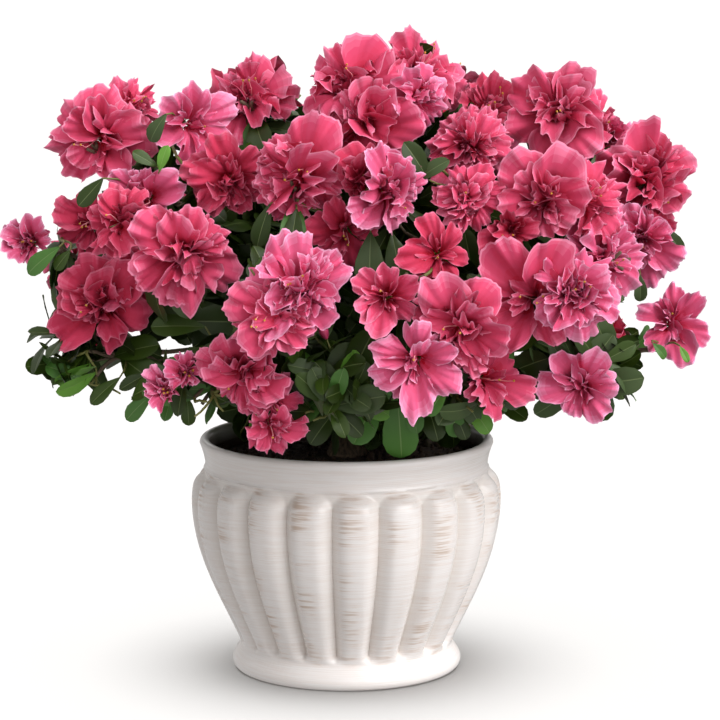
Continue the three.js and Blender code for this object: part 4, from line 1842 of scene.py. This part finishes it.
# The soft lights on the plant: [name, bearing, elevation, share of the key light's strength and
# degrees across].
LIGHTS = (
    ("key_light", 52, 41, 1.05, 50),
    ("back_light", 165, 60, 0.72, 90),
    ("left_fill", -95, 20, 0.3, 150),
    ("front_fill", 46, 10, 0.44, 100),
    ("crown_fill", -35, 25, 0.24, 90),
)


def aim(thing, target):
    """Turns a camera or light towards a point in metres."""
    way = Vector(target) - thing.location
    thing.rotation_euler = way.to_track_quat("-Z", "Y").to_euler()


def set_backdrop():
    """A white screen all round, far off. It's only seen, and neither lights nor shades."""
    bpy.ops.mesh.primitive_cylinder_add(
        vertices=96, radius=29, depth=30, end_fill_type="NOTHING", location=(0, 0, 14)
    )
    screen = bpy.context.object
    screen.name = "backdrop"
    bpy.ops.object.transform_apply(location=True, rotation=True, scale=True)
    white = linear("#FFFFFF")
    glow = {"Emission_Color": (*white, 1), "Emission_Strength": 1.0}
    screen.data.materials.append(plain_surface("lit_white_screen", white, 1.0, **glow))
    screen.visible_diffuse = False
    screen.visible_glossy = False
    screen.visible_shadow = False


def keep_light_off(pieces, lights, name):
    """Keeps the lights from lighting the pieces, by light linking."""
    spared = bpy.data.collections.new(name)
    for piece in pieces:
        spared.objects.link(piece)
    for linked in spared.collection_objects:
        linked.light_linking.link_state = "EXCLUDE"
    for light in lights:
        light.light_linking.receiver_collection = spared


def light_floor(floor, pot, strength):
    """Lights nothing but the floor, from above. Only the pot shades it, close to the foot."""
    bpy.ops.object.light_add(type="SUN", location=(0, 0, 3))
    light = bpy.context.object
    light.name = "floor_light"
    light.data.energy = strength
    light.data.angle = math.radians(FLOOR_LIGHT_SPREAD)
    lit = bpy.data.collections.new("lit_by_floor_light")
    lit.objects.link(floor)
    light.light_linking.receiver_collection = lit
    shading = bpy.data.collections.new("shading_floor_light")
    shading.objects.link(pot)
    light.light_linking.blocker_collection = shading


def white_surround(strength):
    """A world of even, slightly warm white light."""
    world = bpy.data.worlds.new("white_surround")
    world.use_nodes = True
    background = world.node_tree.nodes["Background"]
    background.inputs["Color"].default_value = (1, 0.975, 0.95, 1)
    background.inputs["Strength"].default_value = strength
    return world


def place_camera():
    """The camera, far off at the front and a little above, with a long lens."""
    bpy.ops.object.camera_add(location=[value * MM for value in CAMERA_PLACE])
    camera = bpy.context.object
    camera.name = "camera"
    camera.data.lens = CAMERA_LENS
    camera.data.sensor_width = 36
    camera.data.clip_end = 100
    aim(camera, [value * MM for value in CAMERA_AIM])
    return camera


class AZALEA_OT_stage(bpy.types.Operator):
    """Lays the pale floor and sets the soft lights and the camera"""

    bl_idname = "azalea.stage"
    bl_label = "Stage"

    def execute(self, context):
        settings = context.scene.azalea_stage
        deselect_all()
        # It lies 0.2 mm down, so that the underside of the pot doesn't share its plane.
        bpy.ops.mesh.primitive_plane_add(size=60, location=(0, 0, -0.2 * MM))
        floor = context.object
        floor.name = "floor"
        bpy.ops.object.transform_apply(location=True, rotation=True, scale=True)
        matt = plain_surface("pale_matt_floor", tuple(settings.floor), 0.9)
        floor.data.materials.append(matt)
        floor.visible_diffuse = False
        floor.visible_glossy = False
        set_backdrop()
        pot = bpy.data.objects["glazed_pot"]
        lights = {}
        for name, bearing, elevation, share, spread in LIGHTS:
            way = facing(bearing, elevation)
            bpy.ops.object.light_add(type="SUN", location=tuple(way * 2))
            light = context.object
            light.name = name
            light.data.energy = settings.key_strength * share
            light.data.angle = math.radians(spread)
            aim(light, (0, 0, 0.2))
            lights[name] = light
        crown_fill = lights.pop("crown_fill")
        keep_light_off([floor], lights.values(), "not_lit_by_the_others")
        keep_light_off([floor, pot], [crown_fill], "not_lit_by_the_crown_fill")
        light_floor(floor, pot, settings.floor_light)
        context.scene.world = white_surround(settings.sky)
        context.scene.camera = place_camera()
        context.scene.view_settings.view_transform = "Standard"
        return {"FINISHED"}


# ---- Panel and registration


class AZALEA_PT_panel(bpy.types.Panel):
    """Lists the pieces and what can be changed on them"""

    bl_idname = "AZALEA_PT_panel"
    bl_label = "Potted azalea"
    bl_space_type = "VIEW_3D"
    bl_region_type = "UI"
    bl_category = "Azalea"

    def draw(self, context):
        for group, operators in (
            (context.scene.azalea_pot, ("azalea.pot", "azalea.potting_mix")),
            (
                context.scene.azalea_shrub,
                ("azalea.bark", "azalea.twigs", "azalea.leaves", "azalea.blossoms"),
            ),
            (context.scene.azalea_stage, ("azalea.stage",)),
        ):
            box = self.layout.box()
            for name in group.__annotations__:
                box.prop(group, name)
            for operator in operators:
                box.operator(operator)


CLASSES = (
    PotSettings,
    ShrubSettings,
    StageSettings,
    AZALEA_OT_pot,
    AZALEA_OT_potting_mix,
    AZALEA_OT_bark,
    AZALEA_OT_twigs,
    AZALEA_OT_leaves,
    AZALEA_OT_blossoms,
    AZALEA_OT_stage,
    AZALEA_PT_panel,
)


def register():
    """Makes the classes and their settings known."""
    for cls in CLASSES:
        bpy.utils.register_class(cls)
    scene = bpy.types.Scene
    scene.azalea_pot = bpy.props.PointerProperty(type=PotSettings)
    scene.azalea_shrub = bpy.props.PointerProperty(type=ShrubSettings)
    scene.azalea_stage = bpy.props.PointerProperty(type=StageSettings)


def unregister():
    """Takes the settings and classes away again."""
    scene = bpy.types.Scene
    del scene.azalea_pot
    del scene.azalea_shrub
    del scene.azalea_stage
    for cls in reversed(CLASSES):
        bpy.utils.unregister_class(cls)


def main():
    register()
    bpy.ops.azalea.pot()
    bpy.ops.azalea.potting_mix()
    bpy.ops.azalea.bark()
    bpy.ops.azalea.twigs()
    bpy.ops.azalea.leaves()
    bpy.ops.azalea.blossoms()
    bpy.ops.azalea.stage()


if __name__ == "__main__":
    main()
